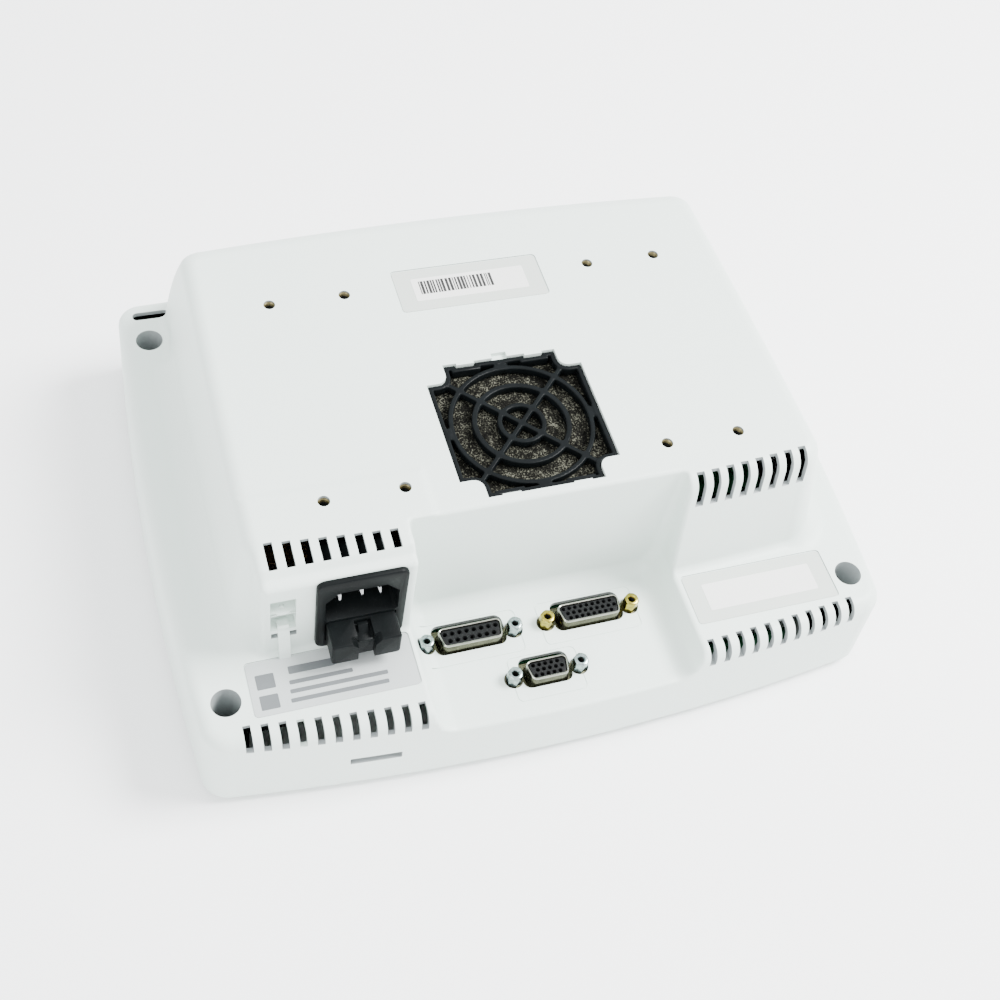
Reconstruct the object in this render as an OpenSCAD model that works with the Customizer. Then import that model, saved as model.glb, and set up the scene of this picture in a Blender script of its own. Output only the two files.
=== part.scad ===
// Display unit of a patient monitor, lying face down on its screen.
// +X runs across the unit, +Y towards its top edge and +Z out of its back.
// The origin is the middle of the face that it lies on.

/* [Housing] */
// Width of the unit across its bulged sides
unit_w = 267.2; // [262:0.2:272]
// Height of the unit from bottom edge to top edge
unit_h = 212.4; // [209:0.2:216]
// Depth from the front face to the top of the hump
unit_d = 86; // [84:0.5:90]
// Height of the low flange above the front face
flange_z = 41.2; // [40:0.1:42.5]
// Height of the connector pocket's floor above the front face
floor_z = 29; // [28.5:0.1:29.5]
// Wall thickness of the plastic shells
wall = 2.5; // [2:0.1:2.8]

/* [Mounting inserts] */
// Spacing of the outer threaded inserts across the unit
outer_pitch_x = 152.4; // [150:0.1:155]
// Spacing of the inner threaded inserts across the unit
inner_pitch_x = 96.5; // [90:0.1:100]
// Spacing of both insert patterns up the unit
pitch_y = 88.9; // [86:0.1:90]
// Radius of the tapped hole in each insert
insert_hole_r = 1.65; // [1.5:0.05:2]

/* [Fan] */
// Side of the square fan frame
fan_side = 60; // [58:1:60]
// Depth of the fan
fan_depth = 25; // [20:1:25]
// Side of the filter opening over the fan
filter_side = 58.4; // [56:0.2:58.4]

/* [Display] */
// Width of the visible picture
picture_w = 211.2; // [205:0.2:212]
// Height of the visible picture
picture_h = 158.4; // [150:0.2:160]

/* [Connectors] */
// Spacing of the jackscrews on the two wide connectors
wide_jack_pitch = 33.3; // [33.2:0.1:33.4]
// Spacing of the jackscrews on the narrow connector
narrow_jack_pitch = 25; // [24.9:0.1:25.1]
// Width of the mains inlet's flange
inlet_w = 31; // [30:0.5:31]
// Height of the mains inlet's flange
inlet_h = 41; // [40:0.5:41]

/* [Hidden] */

$fn = 48;
gap = 0.3;
eps = 0.01;

// Plan of the shell: half width, lowest and highest y, and how far the sides bulge.
half_w = unit_w / 2;
half_h = unit_h / 2;
side_bulge = 4;
end_bulges = [7.6, 1.8];
corner_rs = [10, 9];
wall_draft = 2.4;
rim_z = 3.5;
flange_round = 5;
hump_round = 5;

// Middle of the insert patterns, and of the fan and its filter.
pattern_y = 7.1;
fan_y = -17.4;

// Fan stack under the filter opening.
fan_top_z = 79;
fan_hole = 25;
fan_duct_r = 28.6;
fan_shaft_r = 1.5;
notch_r = 8.3;
foam_t = 4.2;
cover_z = 83.5;
cover_t = 2.3;
ring_radii = [8, 16.15, 24.85];
ring_half = 0.85;

// Corner screws, mirrored left to right.
screw_x = 118;
screw_y = [-80.3, 81.4];
screw_bore_r = 5.15;
screw_seat_z = 16;

// Connector pocket.
pocket_half_w = 50.5;
pocket_top_y = -50.2;
floor_half_w = 46.5;
floor_wall = 1.5;

// Cooling slots.
slot_pitch = 5.9;
slot_w = 2.6;
upper_slots = 8;
lower_slots = 11;
first_upper_x = 55.4;
first_lower_x = 54.2;

// Boss that carries the mains inlet.
boss_left = -102.8;
boss_right = -50.6;
boss_face_y = -65.4;
boss_top_z = 84.3;
clamp_x = -95.6;
inlet_x = -69.4;
inlet_z = flange_z + 0.9 + inlet_h / 2;
inlet_face_y = boss_face_y - 2;
socket_w = 25;
socket_h = 17;
socket_z = 68;
drawer_w = 24;
drawer_z = 52.4;
drawer_h = 11.4;
drawer_out = 10;

// Connectors on the pocket floor.
jack_top_z = 34.3;
dsub_flange_z = floor_z - floor_wall - 0.1;
dsub_top_z = 33.6;
board_z = 19.9;
board_t = 1.6;
dsub15_at = [-27.9, -69];
dsub26_at = [18, -69];
vga_at = [-4.7, -88.6];
size_a_shell = [24.7, 7.9];
size_e_shell = [16.4, 7.9];
size_a_flange = [39.1, 12.5];
size_e_flange = [30.8, 12.5];

// Labels.
label_size = [58, 21];
label_depth = 0.4;
barcode_at = [0, 49.4];
serial_at = [81.7, -78.2];
rating_at = [-80.9, -77.8];

// Front.
picture_y = 8;
window_z = 3.6;
window_t = 2;
lcd_z = 6.1;
lcd_t = 9;
lcd_size = [220, 170];
plate_z = 15.8;
plate_t = 1;
key_y = -88;
key_xs = [70, 84, 98];
key_travel = 0.8;
key_r = 4;
key_board_z = 10;
light_x = 60;
window_size = [219, 166];
plate_half_w = 110;
plate_y = [-74, 95];
high_board_z = 45;
chassis_screw_at = [[-105, -68], [105, -68], [-105, 88], [105, 88]];
main_posts = [[42, -30], [94, -30], [42, 80], [94, 80]];
power_posts = [[-94, -28], [-42, -28], [-94, 76], [-42, 76]];
connector_posts = [[-44, -66], [36, -66]];
inverter_posts = [[60, -66], [96, -66]];

// Height of each inlet pin: the middle one is the earth pin.
function pin_z(i) = socket_z - 1 + (i == 1 ? 4 : 0);

// Colours.
cover_colour = [0.91, 0.93, 0.91];
black_plastic = [0.09, 0.10, 0.10];
steel = [0.72, 0.73, 0.75];
brass = [0.78, 0.66, 0.36];
board_green = [0.10, 0.34, 0.20];

// Closed outline with bulged sides and round corners. by and r list the bottom end, then the top end.
// taper widens the bottom end.
function outline(w, yb, yt, bx, by, r, taper = 0) =
    let (rb = r[0], rt = r[1], cxb = w - bx - rb + taper, cxt = w - bx - rt - taper,
         cyb = yb + by[0] + rb, cyt = yt - by[1] - rt,
         steps = [-0.66, -0.33, 0, 0.33, 0.66])
    concat(
        [for (a = [-90 : 15 : 0]) [cxb + rb * cos(a), cyb + rb * sin(a)]],
        [for (t = steps) [w - bx * t * t - taper * t, cyb + (cyt - cyb) * (t + 1) / 2]],
        [for (a = [0 : 15 : 90]) [cxt + rt * cos(a), cyt + rt * sin(a)]],
        [for (t = steps) [-t * cxt, yt - by[1] * t * t]],
        [for (a = [90 : 15 : 180]) [-cxt + rt * cos(a), cyt + rt * sin(a)]],
        [for (t = steps) [-(w - bx * t * t + taper * t), cyt - (cyt - cyb) * (t + 1) / 2]],
        [for (a = [180 : 15 : 270]) [-cxb + rb * cos(a), cyb + rb * sin(a)]],
        [for (t = steps) [t * cxb, yb + by[0] * t * t]]);

module sheet_at(z, points) translate([0, 0, z]) linear_extrude(eps) polygon(points);

// Outline of the low body at one height, set in by inset.
module base_slice(z, inset) {
    drafted = wall_draft * (z - rim_z) / (flange_z - flange_round - rim_z);
    w = half_w - min(drafted, wall_draft) * 0.4 - inset;
    h = half_h - min(drafted, wall_draft) - inset;
    sheet_at(z, outline(w, -h, h, side_bulge, end_bulges, [for (r = corner_rs) r - inset]));
}

// Low body, rounded over its upper edge. inset makes the hollow inside it.
module base_form(inset, low_z) {
    hull() {
        base_slice(low_z, inset);
        for (a = [0, 30, 60, 90])
            base_slice(flange_z - flange_round + (flange_round - inset) * sin(a),
                       inset + (flange_round - inset) * (1 - cos(a)) * 0.9);
    }
}

// Outline of the hump at one height. Its top end curves in towards the back of the unit.
module hump_slice(z, inset) {
    rise = (z - flange_z) / (unit_d - flange_z);
    w = 112.3 - 7.6 * rise - inset;
    yb = -66.2 + 9 * rise + inset;
    yt = 103.2 - 17.4 * pow(max(rise, 0), 1.5) - inset;
    radii = [max(13 - 4 * rise - inset, 3), max(13 - 6 * rise - inset, 3)];
    sheet_at(z, outline(w, yb, yt, 0.5, [3.4, 3], radii, 0.9));
}

module hump_form(inset, low_z) {
    top_z = unit_d - inset;
    round_r = hump_round - inset * 0.8;
    hull() {
        for (z = [low_z, flange_z + 12, flange_z + 26])
            hump_slice(z, inset);
        for (a = [0, 30, 60, 90])
            hump_slice(top_z - round_r + round_r * sin(a) - eps, inset + round_r * (1 - cos(a)));
    }
}

// Section of the connector pocket across the unit, grown for its walls.
module pocket_section(grow, low_z, high_z)
    polygon([[-floor_half_w - grow, low_z], [floor_half_w + grow, low_z],
             [pocket_half_w + grow, flange_z], [pocket_half_w + grow, high_z],
             [-pocket_half_w - grow, high_z], [-pocket_half_w - grow, flange_z]]);

// Extrudes a section drawn in X and Z from low_y to high_y.
module along_y(low_y, high_y)
    translate([0, high_y, 0]) rotate([90, 0, 0]) linear_extrude(high_y - low_y) children();

module pocket_space() along_y(-120, pocket_top_y) pocket_section(0, floor_z, unit_d + 5);

// Floor and walls of the pocket, kept inside the outer skin.
module pocket_walls() {
    along_y(-101.5, pocket_top_y + wall) pocket_section(wall, floor_z - floor_wall, flange_z + eps);
    intersection() {
        along_y(-80, pocket_top_y + wall) pocket_section(wall, floor_z, unit_d - 1.5);
        translate([-60, 0, 0]) rotate([90, 0, 90]) linear_extrude(120)
            polygon([[-40, unit_d - 1.5], [-54.8, unit_d - 1.5], [-64.6, flange_z - 1], [-40, flange_z - 1]]);
    }
}

module boss_form(inset) {
    hull()
        for (x = [boss_left + 3 + inset, boss_right - 2 - inset])
            for (z = [flange_z - 5, boss_top_z - 3 - inset])
                translate([x, boss_face_y + inset, z]) rotate([-90, 0, 0])
                    cylinder(r = 3, h = 20, $fn = 24);
}

module at_corners() for (sx = [-1, 1]) for (y = screw_y) translate([sx * screw_x, y, 0]) children();

module upper_slot_cuts() {
    for (i = [0 : upper_slots - 1]) {
        x = first_upper_x + i * slot_pitch;
        start_y = -53.4 + 0.0005 * (x * x - first_upper_x * first_upper_x);
        translate([x - slot_w / 2, -80, unit_d - 12]) cube([slot_w, 80 + start_y, 20]);
        translate([-x - slot_w / 2, -60.5, unit_d - 9]) cube([slot_w, 60.5 + start_y, 20]);
    }
}

module lower_slot_cuts() {
    for (i = [0 : lower_slots - 1])
        for (side = [-1, 1]) {
            x = first_lower_x + i * slot_pitch;
            start_y = -94.9 + 0.0005 * (x * x - first_lower_x * first_lower_x);
            translate([side * x - slot_w / 2, -125, flange_z - 5.6]) cube([slot_w, 125 + start_y, 20]);
        }
}

// Opening for the filter cover: a square with a quarter-round bite out of each corner.
module filter_opening(clearance) {
    side = filter_side - 2 * clearance;
    difference() {
        square([side, side], center = true);
        for (sx = [-1, 1]) for (sy = [-1, 1])
            translate([sx * filter_side / 2, sy * filter_side / 2]) circle(r = notch_r + clearance);
    }
}

module corner_bites(r) for (sx = [-1, 1]) for (sy = [-1, 1])
    translate([sx * filter_side / 2, sy * filter_side / 2]) circle(r = r);

// Cut-out in the pocket floor round one connector and its jackscrews.
module connector_cutout(at, body, pitch) {
    translate([at[0], at[1], floor_z - 5]) linear_extrude(8) {
        square([body[0] + 2.4, body[1] + 2.4], center = true);
        for (s = [-1, 1]) translate([s * pitch / 2, 0]) circle(r = 3.6);
        square([pitch, 5], center = true);
    }
}

module label_recess(at, top_z)
    translate([at[0] - label_size[0] / 2, at[1] - label_size[1] / 2, top_z - label_depth])
        cube([label_size[0], label_size[1], 5]);

module insert_places(pitch_x)
    for (sx = [-1, 1]) for (sy = [-1, 1])
        translate([sx * pitch_x / 2, pattern_y + sy * pitch_y / 2, 0]) children();

// Half disc of the cord clamp's shelf and the square holes below it.
module clamp_pocket() {
    difference() {
        translate([clamp_x - 4.6, boss_face_y - 1, 58.5]) cube([9.2, 6.5, 17]);
        translate([clamp_x, boss_face_y + 4, 66]) cylinder(r = 4.4, h = 2);
    }
    translate([clamp_x, boss_face_y + 2.2, 60]) cylinder(r = 0.9, h = 12);
    for (x = [-3.9, 2.9])
        translate([clamp_x + x - 1.3, boss_face_y - 1, 51.5]) cube([2.6, 5, 2.8]);
}

module rear_cover() color(cover_colour) difference() {
    union() {
        difference() {
            union() {
                base_form(0, rim_z);
                hump_form(0, flange_z - 8);
                boss_form(0);
            }
            base_form(wall, rim_z - 1);
            hump_form(wall, flange_z - 8);
            boss_form(wall);
        }
        pocket_walls();
        // Block behind the cord clamp's pocket.
        translate([clamp_x - 6, boss_face_y + 1, 49]) cube([12, 8, 28]);
        // Sleeves of the corner screws.
        at_corners() translate([0, 0, 9.4]) cylinder(r = 7.2, h = flange_z - 9.4 - 1);
        // Sockets round the threaded inserts.
        insert_places(outer_pitch_x) translate([0, 0, unit_d - 12]) cylinder(r = 5.2, h = 11);
        insert_places(inner_pitch_x) translate([0, 0, unit_d - 12]) cylinder(r = 5.2, h = 11);
        // Frame that locates the fan, and the bosses that its screws hold to.
        translate([0, fan_y, unit_d - 14]) linear_extrude(13) difference() {
            square(fan_side + 4, center = true);
            square(fan_side + 2 * gap, center = true);
        }
        translate([0, fan_y, fan_top_z]) linear_extrude(unit_d - 1 - fan_top_z) intersection() {
            square(fan_side + 2, center = true);
            corner_bites(notch_r);
        }
    }
    pocket_space();
    at_corners() {
        translate([0, 0, screw_seat_z]) cylinder(r = screw_bore_r, h = 60);
        translate([0, 0, 5]) cylinder(r = 2.3, h = 40);
        translate([0, 0, flange_z]) cylinder(r = 8.2, h = 16);
    }
    for (pitch = [outer_pitch_x, inner_pitch_x]) insert_places(pitch) {
        translate([0, 0, unit_d - 13]) cylinder(r = 3.2, h = 12.4);
        translate([0, 0, unit_d - 2]) cylinder(r = 2.1, h = 5);
    }
    translate([0, fan_y, fan_top_z + 2]) linear_extrude(20) filter_opening(0);
    translate([0, fan_y, fan_top_z - 1])
        for (sx = [-1, 1]) for (sy = [-1, 1])
            translate([sx * fan_hole, sy * fan_hole, 0]) cylinder(r = 1.55, h = 4.6);
    upper_slot_cuts();
    lower_slot_cuts();
    connector_cutout(dsub15_at, size_a_shell, wide_jack_pitch);
    connector_cutout(dsub26_at, size_a_shell, wide_jack_pitch);
    connector_cutout(vga_at, size_e_shell, narrow_jack_pitch);
    label_recess(barcode_at, unit_d);
    label_recess(serial_at, flange_z);
    label_recess(rating_at, flange_z);
    // Hole for the mains inlet's body.
    translate([inlet_x - 13.8, boss_face_y - 5, inlet_z - 19]) cube([27.6, 12, 38]);
    clamp_pocket();
    // Slots for a carrying handle at the top corners of the flange.
    for (s = [-1, 1]) translate([s * 115.8 - 6.8, 93.6, flange_z - 8]) cube([13.6, 2.8, 12]);
    // Latch slot in the bottom edge.
    translate([-79.6, -112, 18]) cube([18.2, 16, 2.6]);
}

// Front frame, a tray that nests inside the rear cover's rim.
module front_bezel() color(cover_colour) {
    difference() {
        union() {
            translate([0, 0, 1]) linear_extrude(2) polygon(bezel_outline(0));
            hull() {
                sheet_at(0, bezel_outline(1));
                sheet_at(1, bezel_outline(0));
            }
            translate([0, 0, 3]) linear_extrude(5) difference() {
                polygon(bezel_outline(0));
                polygon(bezel_outline(2));
            }
            translate([0, picture_y, 3]) linear_extrude(2.8) difference() {
                square([window_size[0] + 4, window_size[1] + 4], center = true);
                square([window_size[0] + 0.4, window_size[1] + 0.4], center = true);
            }
            at_corners() cylinder(r = 5, h = 9.2);
            for (x = [-7, 7]) translate([key_xs[1] + x, key_y, 2]) cylinder(r = 1.4, h = key_board_z - 2);
        }
        translate([0, picture_y, -1]) linear_extrude(6)
            square([picture_w + 3, picture_h + 3], center = true);
        at_corners() translate([0, 0, 4]) cylinder(r = 2, h = 8);
        for (x = key_xs) translate([x, key_y, -1]) cylinder(r = key_r + 0.25, h = 5);
        translate([light_x, key_y, -1]) cylinder(r = 1.55, h = 5);
    }
}

function bezel_outline(inset) =
    let (w = half_w - wall - gap - inset, h = half_h - wall - gap - inset)
    outline(w - 0.1, 0.1 - h, h - 0.1, side_bulge, end_bulges, [for (r = corner_rs) r - wall - inset]);

module window_gasket() color([0.12, 0.12, 0.13])
    translate([0, picture_y, 3.02]) linear_extrude(window_z - 3.04) difference() {
        square([window_size[0] - 0.4, window_size[1] - 0.4], center = true);
        square([picture_w + 3, picture_h + 3], center = true);
    }

module screen_window() color([0.75, 0.85, 0.88, 0.4])
    translate([-window_size[0] / 2, picture_y - window_size[1] / 2, window_z])
        cube([window_size[0], window_size[1], window_t]);

module lcd_panel() color([0.16, 0.17, 0.19]) translate([0, picture_y, lcd_z]) {
    translate([-lcd_size[0] / 2, -lcd_size[1] / 2, 0]) cube([lcd_size[0], lcd_size[1], lcd_t - 1]);
    translate([-lcd_size[0] / 2 + 6, -lcd_size[1] / 2 + 6, lcd_t - 1.5])
        cube([lcd_size[0] - 12, lcd_size[1] - 12, 1.5]);
}

module chassis_plate() color(steel) difference() {
    translate([-plate_half_w, plate_y[0], plate_z])
        cube([2 * plate_half_w, plate_y[1] - plate_y[0], plate_t]);
    // Slot for the display cable and screw holes down to the panel.
    translate([29.5, 38, plate_z - 1]) cube([4, 24, 4]);
    for (p = chassis_screw_at) translate([p[0], p[1], plate_z - 1]) cylinder(r = 1.7, h = 4);
    // Lightening windows.
    for (x = [-70, 0, 70]) translate([x - 18, 64, plate_z - 1]) cube([36, 18, 4]);
}

module chassis_screws() color([0.55, 0.56, 0.58])
    for (p = chassis_screw_at) translate([p[0], p[1], 0]) {
        translate([0, 0, lcd_z + lcd_t]) cylinder(r = 1.6, h = plate_z + plate_t - lcd_z - lcd_t + 0.5);
        translate([0, 0, plate_z + plate_t]) cylinder(r = 3, h = 1.8);
    }

module board_standoffs() color(brass) {
    for (p = concat(main_posts, power_posts)) translate([p[0], p[1], plate_z + plate_t])
        cylinder(r = 2.9, h = high_board_z - plate_z - plate_t, $fn = 6);
    for (p = connector_posts) translate([p[0], p[1], plate_z + plate_t])
        cylinder(r = 2.9, h = board_z - plate_z - plate_t, $fn = 6);
    for (p = inverter_posts) translate([p[0], p[1], plate_z + plate_t])
        cylinder(r = 2.4, h = 2, $fn = 6);
}

// Circuit board with chips given as [x, y, width, depth, height].
module board(low, high, z, chips, colour = board_green) {
    color(colour) translate([low[0], low[1], z]) cube([high[0] - low[0], high[1] - low[1], board_t]);
    color([0.10, 0.10, 0.11]) for (c = chips)
        translate([c[0] - c[2] / 2, c[1] - c[3] / 2, z + board_t - eps]) cube([c[2], c[3], c[4]]);
}

module main_board() board([37, -38], [99, 86], high_board_z, [
    [58, 10, 28, 28, 3.4], [84, 14, 18, 12, 2.4], [84, 34, 18, 12, 2.4], [58, 50, 20, 20, 3],
    [84, -14, 12, 20, 6], [50, -24, 14, 8, 8], [76, 70, 34, 6, 9], [50, 70, 8, 8, 11]]);

module connector_board() board([-49, -98], [41, -58], board_z,
    [[-38, -90, 12, 10, 2], [28, -90, 16, 10, 2.4], [34, -80, 8, 6, 4]]);

module power_supply() {
    board([-99, -34], [-37, 82], high_board_z + 1.2, [
        [-80, 0, 30, 26, 24], [-50, 4, 14, 22, 20], [-84, 34, 18, 18, 24], [-56, 40, 26, 16, 14],
        [-70, 68, 40, 18, 18]], [0.52, 0.40, 0.20]);
    color([0.16, 0.22, 0.40]) for (y = [-22, 22])
        translate([-60 - y / 4, y, high_board_z + 1.2 + board_t - eps]) cylinder(r = 6.4, h = 20);
}

module power_shield() color(steel) difference() {
    translate([-101, -36, high_board_z]) cube([66, 119, 26]);
    translate([-100, -37, high_board_z + 1]) cube([64, 126, 30]);
    for (y = [-20 : 12 : 64]) for (z = [14, 20])
        translate([-110, y, high_board_z + z]) rotate([0, 90, 0]) cylinder(r = 2.2, h = 90);
}

module backlight_inverter() board([57, -79], [105, -63], plate_z + plate_t + 2,
    [[70, -71, 16, 12, 8], [90, -71, 12, 10, 5], [101, -71, 5, 8, 5]]);

module display_cable() color([0.80, 0.80, 0.78])
    along_y(40, 60) polygon([[37.2, high_board_z - 0.2], [37.2, high_board_z - 0.9],
        [32.3, high_board_z - 0.9], [32.3, lcd_z + lcd_t + 0.05], [31.6, lcd_z + lcd_t + 0.05],
        [31.6, high_board_z - 0.2]]);

// A wire goes straight back from each inlet pin, then down to the power board.
module mains_wires() for (i = [0 : 2])
    color([[0.35, 0.20, 0.12], [0.25, 0.55, 0.25], [0.15, 0.30, 0.60]][i])
        translate([inlet_x + 7 * (i - 1), -31, pin_z(i)]) {
            rotate([90, 0, 0]) cylinder(r = 0.95, h = 3.6);
            sphere(r = 0.95);
            translate([0, 0, high_board_z + 3.8 - pin_z(i)])
                cylinder(r = 0.95, h = pin_z(i) - high_board_z - 3.8);
        }

module fan_frame() color([0.13, 0.13, 0.14]) translate([0, fan_y, fan_top_z - fan_depth]) {
    difference() {
        union() {
            for (z = [0, fan_depth - 4]) translate([0, 0, z]) linear_extrude(4) fan_plate();
            cylinder(r = fan_duct_r + 1.2, h = fan_depth);
        }
        translate([0, 0, -1]) cylinder(r = fan_duct_r, h = fan_depth + 2, $fn = 96);
    }
    cylinder(r = 14, h = 3);
    for (a = [20, 110, 200, 290]) rotate([0, 0, a]) translate([13, -1.6, 0])
        cube([fan_duct_r - 12.6, 3.2, 3]);
    cylinder(r = fan_shaft_r, h = 20);
}

module fan_plate() difference() {
    square(fan_side, center = true);
    for (sx = [-1, 1]) for (sy = [-1, 1])
        translate([sx * fan_hole, sy * fan_hole]) circle(r = 2.15);
}

module fan_rotor() color([0.16, 0.16, 0.17]) translate([0, fan_y, fan_top_z - fan_depth]) {
    difference() {
        union() {
            translate([0, 0, 4]) cylinder(r = 14.2, h = 18);
            for (i = [0 : 6]) rotate([0, 0, i * 360 / 7]) translate([13.4, 0, 13])
                rotate([38, 0, 0]) translate([0, -8.2, -0.7]) cube([12.8, 16.4, 1.4]);
        }
        translate([0, 0, 3]) cylinder(r = fan_shaft_r + 0.05, h = 18);
    }
}

module fan_screws() color([0.60, 0.61, 0.62]) translate([0, fan_y, 0])
    for (sx = [-1, 1]) for (sy = [-1, 1]) translate([sx * fan_hole, sy * fan_hole, 0]) {
        translate([0, 0, fan_top_z - fan_depth - 2.2]) cylinder(r = 2.9, h = 2.2);
        translate([0, 0, fan_top_z - fan_depth - eps]) cylinder(r = 1.5, h = fan_depth + 3);
    }

module filter_foam() color([0.20, 0.20, 0.19]) translate([0, fan_y, fan_top_z + 0.1])
    linear_extrude(foam_t) filter_opening(0.7);

// Snap-in grille over the foam: frame, three rings, two diagonal spokes and four tabs.
module filter_cover() color(black_plastic) translate([0, fan_y, 0]) {
    translate([0, 0, cover_z]) linear_extrude(cover_t) difference() {
        filter_opening(0.25);
        filter_opening(2.6);
    }
    translate([0, 0, cover_z]) linear_extrude(cover_t - 0.5) intersection() {
        filter_opening(0.4);
        union() {
            for (r = ring_radii) difference() {
                circle(r = r + ring_half);
                circle(r = r - ring_half);
            }
            for (a = [45, 135]) rotate(a) square([80, 1.8], center = true);
            for (a = [0, 90]) rotate(a) difference() {
                square([57, 6.5], center = true);
                circle(r = ring_radii[2]);
            }
        }
    }
}

module inserts(pitch_x) color(brass) insert_places(pitch_x)
    translate([0, 0, unit_d - 12.6]) difference() {
        cylinder(r = 3.2, h = 12);
        translate([0, 0, -1]) cylinder(r = insert_hole_r, h = 14);
    }

module inner_inserts() inserts(inner_pitch_x);
module outer_inserts() inserts(outer_pitch_x);

// D outline with its wide side towards +Y, for a shell of the given outer size.
module dee(size, inset) {
    w = size[0] / 2 - inset;
    h = size[1] / 2 - inset;
    lean = 2 * h * tan(10);
    r = 1.6;
    polygon([[-w + r, h], [w - r, h], [w, h - r], [w - lean, r - h], [w - lean - r, -h],
             [-w + lean + r, -h], [-w + lean, r - h], [-w, h - r]]);
}

module dsub_shell(at, body, flange, pitch) translate([at[0], at[1], 0]) {
    difference() {
        union() {
            translate([-flange[0] / 2, -flange[1] / 2, dsub_flange_z - 0.8]) cube([flange[0], flange[1], 0.8]);
            translate([0, 0, dsub_flange_z - eps]) linear_extrude(dsub_top_z - dsub_flange_z) dee(body, 0);
        }
        translate([0, 0, dsub_flange_z - 2]) linear_extrude(20) dee(body, 0.5);
        for (s = [-1, 1]) translate([s * pitch / 2, 0, dsub_flange_z - 2]) cylinder(r = 1.6, h = 4);
    }
}

// rows lists [number of sockets, y of the row].
module dsub_insulator(at, body, rows, step) color(black_plastic) translate([at[0], at[1], 0])
    difference() {
        union() {
            translate([-body[0] / 2 - 1, -5, board_z + board_t]) cube([body[0] + 2, 10, dsub_flange_z - 0.8 - board_z - board_t]);
            translate([0, 0, dsub_flange_z - 1]) linear_extrude(dsub_top_z - dsub_flange_z + 0.6) dee(body, 0.55);
        }
        for (row = rows) for (i = [0 : row[0] - 1])
            translate([(i - (row[0] - 1) / 2) * step + row[2], row[1], dsub_top_z - 4.4]) cylinder(r = 0.55, h = 6, $fn = 16);
    }

module dsub15_shell() color([0.74, 0.70, 0.52]) dsub_shell(dsub15_at, size_a_shell, size_a_flange, wide_jack_pitch);
module dsub26_shell() color([0.76, 0.70, 0.48]) dsub_shell(dsub26_at, size_a_shell, size_a_flange, wide_jack_pitch);
module vga_shell() color([0.74, 0.70, 0.52]) dsub_shell(vga_at, size_e_shell, size_e_flange, narrow_jack_pitch);
module dsub15_insulator()
    dsub_insulator(dsub15_at, size_a_shell, [[8, 1.42, 0], [7, -1.42, 0]], 2.74);
module dsub26_insulator()
    dsub_insulator(dsub26_at, size_a_shell, [[9, 2, -0.6], [9, 0, 0.6], [8, -2, 0]], 2.29);
module vga_insulator()
    dsub_insulator(vga_at, size_e_shell, [[5, 2, -0.6], [5, 0, 0.6], [5, -2, -0.6]], 2.29);

module jackscrews(at, pitch) for (s = [-1, 1]) translate([at[0] + s * pitch / 2, at[1], 0])
    difference() {
        union() {
            translate([0, 0, dsub_flange_z]) rotate(30) cylinder(r = 2.75, h = jack_top_z - dsub_flange_z, $fn = 6);
            translate([0, 0, dsub_flange_z - 3.6]) cylinder(r = 1.5, h = 4);
        }
        translate([0, 0, jack_top_z - 5]) cylinder(r = 1.25, h = 6);
    }

module zinc_jackscrews() color([0.80, 0.83, 0.85]) {
    jackscrews(dsub15_at, wide_jack_pitch);
    jackscrews(vga_at, narrow_jack_pitch);
}

module gold_jackscrews() color([0.83, 0.72, 0.30]) jackscrews(dsub26_at, wide_jack_pitch);

// Face of the mains inlet, with the two upper corners of its socket cut off.
module socket_outline() polygon([
    [-socket_w / 2, -socket_h / 2], [socket_w / 2, -socket_h / 2], [socket_w / 2, socket_h / 2 - 5],
    [socket_w / 2 - 4.4, socket_h / 2], [4.4 - socket_w / 2, socket_h / 2], [-socket_w / 2, socket_h / 2 - 5]]);

module mains_inlet() color(black_plastic) difference() {
    union() {
        translate([inlet_x, 0, inlet_z]) along_y(inlet_face_y, boss_face_y) rounded(inlet_w, inlet_h, 3.5);
        translate([inlet_x - 13.5, boss_face_y - eps, inlet_z - 18.7]) cube([27, 22, 37.4]);
    }
    translate([inlet_x, 0, socket_z]) along_y(inlet_face_y - 1, inlet_face_y + 16) socket_outline();
    for (i = [0 : 2]) translate([inlet_x + 7 * (i - 1) - 1, inlet_face_y + 15, pin_z(i) - 2]) cube([2, 20, 4]);
    translate([inlet_x - drawer_w / 2 - 0.25, inlet_face_y - 1, drawer_z - drawer_h / 2 - 0.25])
        cube([drawer_w + 0.5, 21, drawer_h + 0.5]);
}

// Rectangle with round corners, drawn from a square and circles.
module rounded(w, h, r) {
    square([w - 2 * r, h], center = true);
    square([w, h - 2 * r], center = true);
    for (sx = [-1, 1]) for (sy = [-1, 1]) translate([sx * (w / 2 - r), sy * (h / 2 - r)]) circle(r = r);
}

module inlet_pins() color(steel)
    for (i = [0 : 2]) translate([inlet_x + 7 * (i - 1) - 1, 0, pin_z(i) - 2]) {
        tip_y = inlet_face_y + (i == 1 ? 1.2 : 2.8);
        translate([0, tip_y, 0]) cube([2, -34.6 - tip_y, 4]);
    }

module fuse_drawer() color(black_plastic) difference() {
    union() {
        translate([inlet_x - drawer_w / 2, inlet_face_y - drawer_out, drawer_z - drawer_h / 2])
            cube([drawer_w, drawer_out + 19, drawer_h]);
    }
    // Finger notch over the latch.
    translate([inlet_x - 3, inlet_face_y - drawer_out - 1, drawer_z + drawer_h / 2 - 3])
        cube([6, drawer_out - 1, 5]);
    translate([inlet_x - 3, inlet_face_y - drawer_out - 1, drawer_z - drawer_h / 2 - 1]) cube([6, 2.5, drawer_h + 2]);
    for (s = [-1, 1]) translate([inlet_x + s * 5.8, inlet_face_y + 20, drawer_z])
        rotate([90, 0, 0]) cylinder(r = 2.75, h = 22);
}

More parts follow.
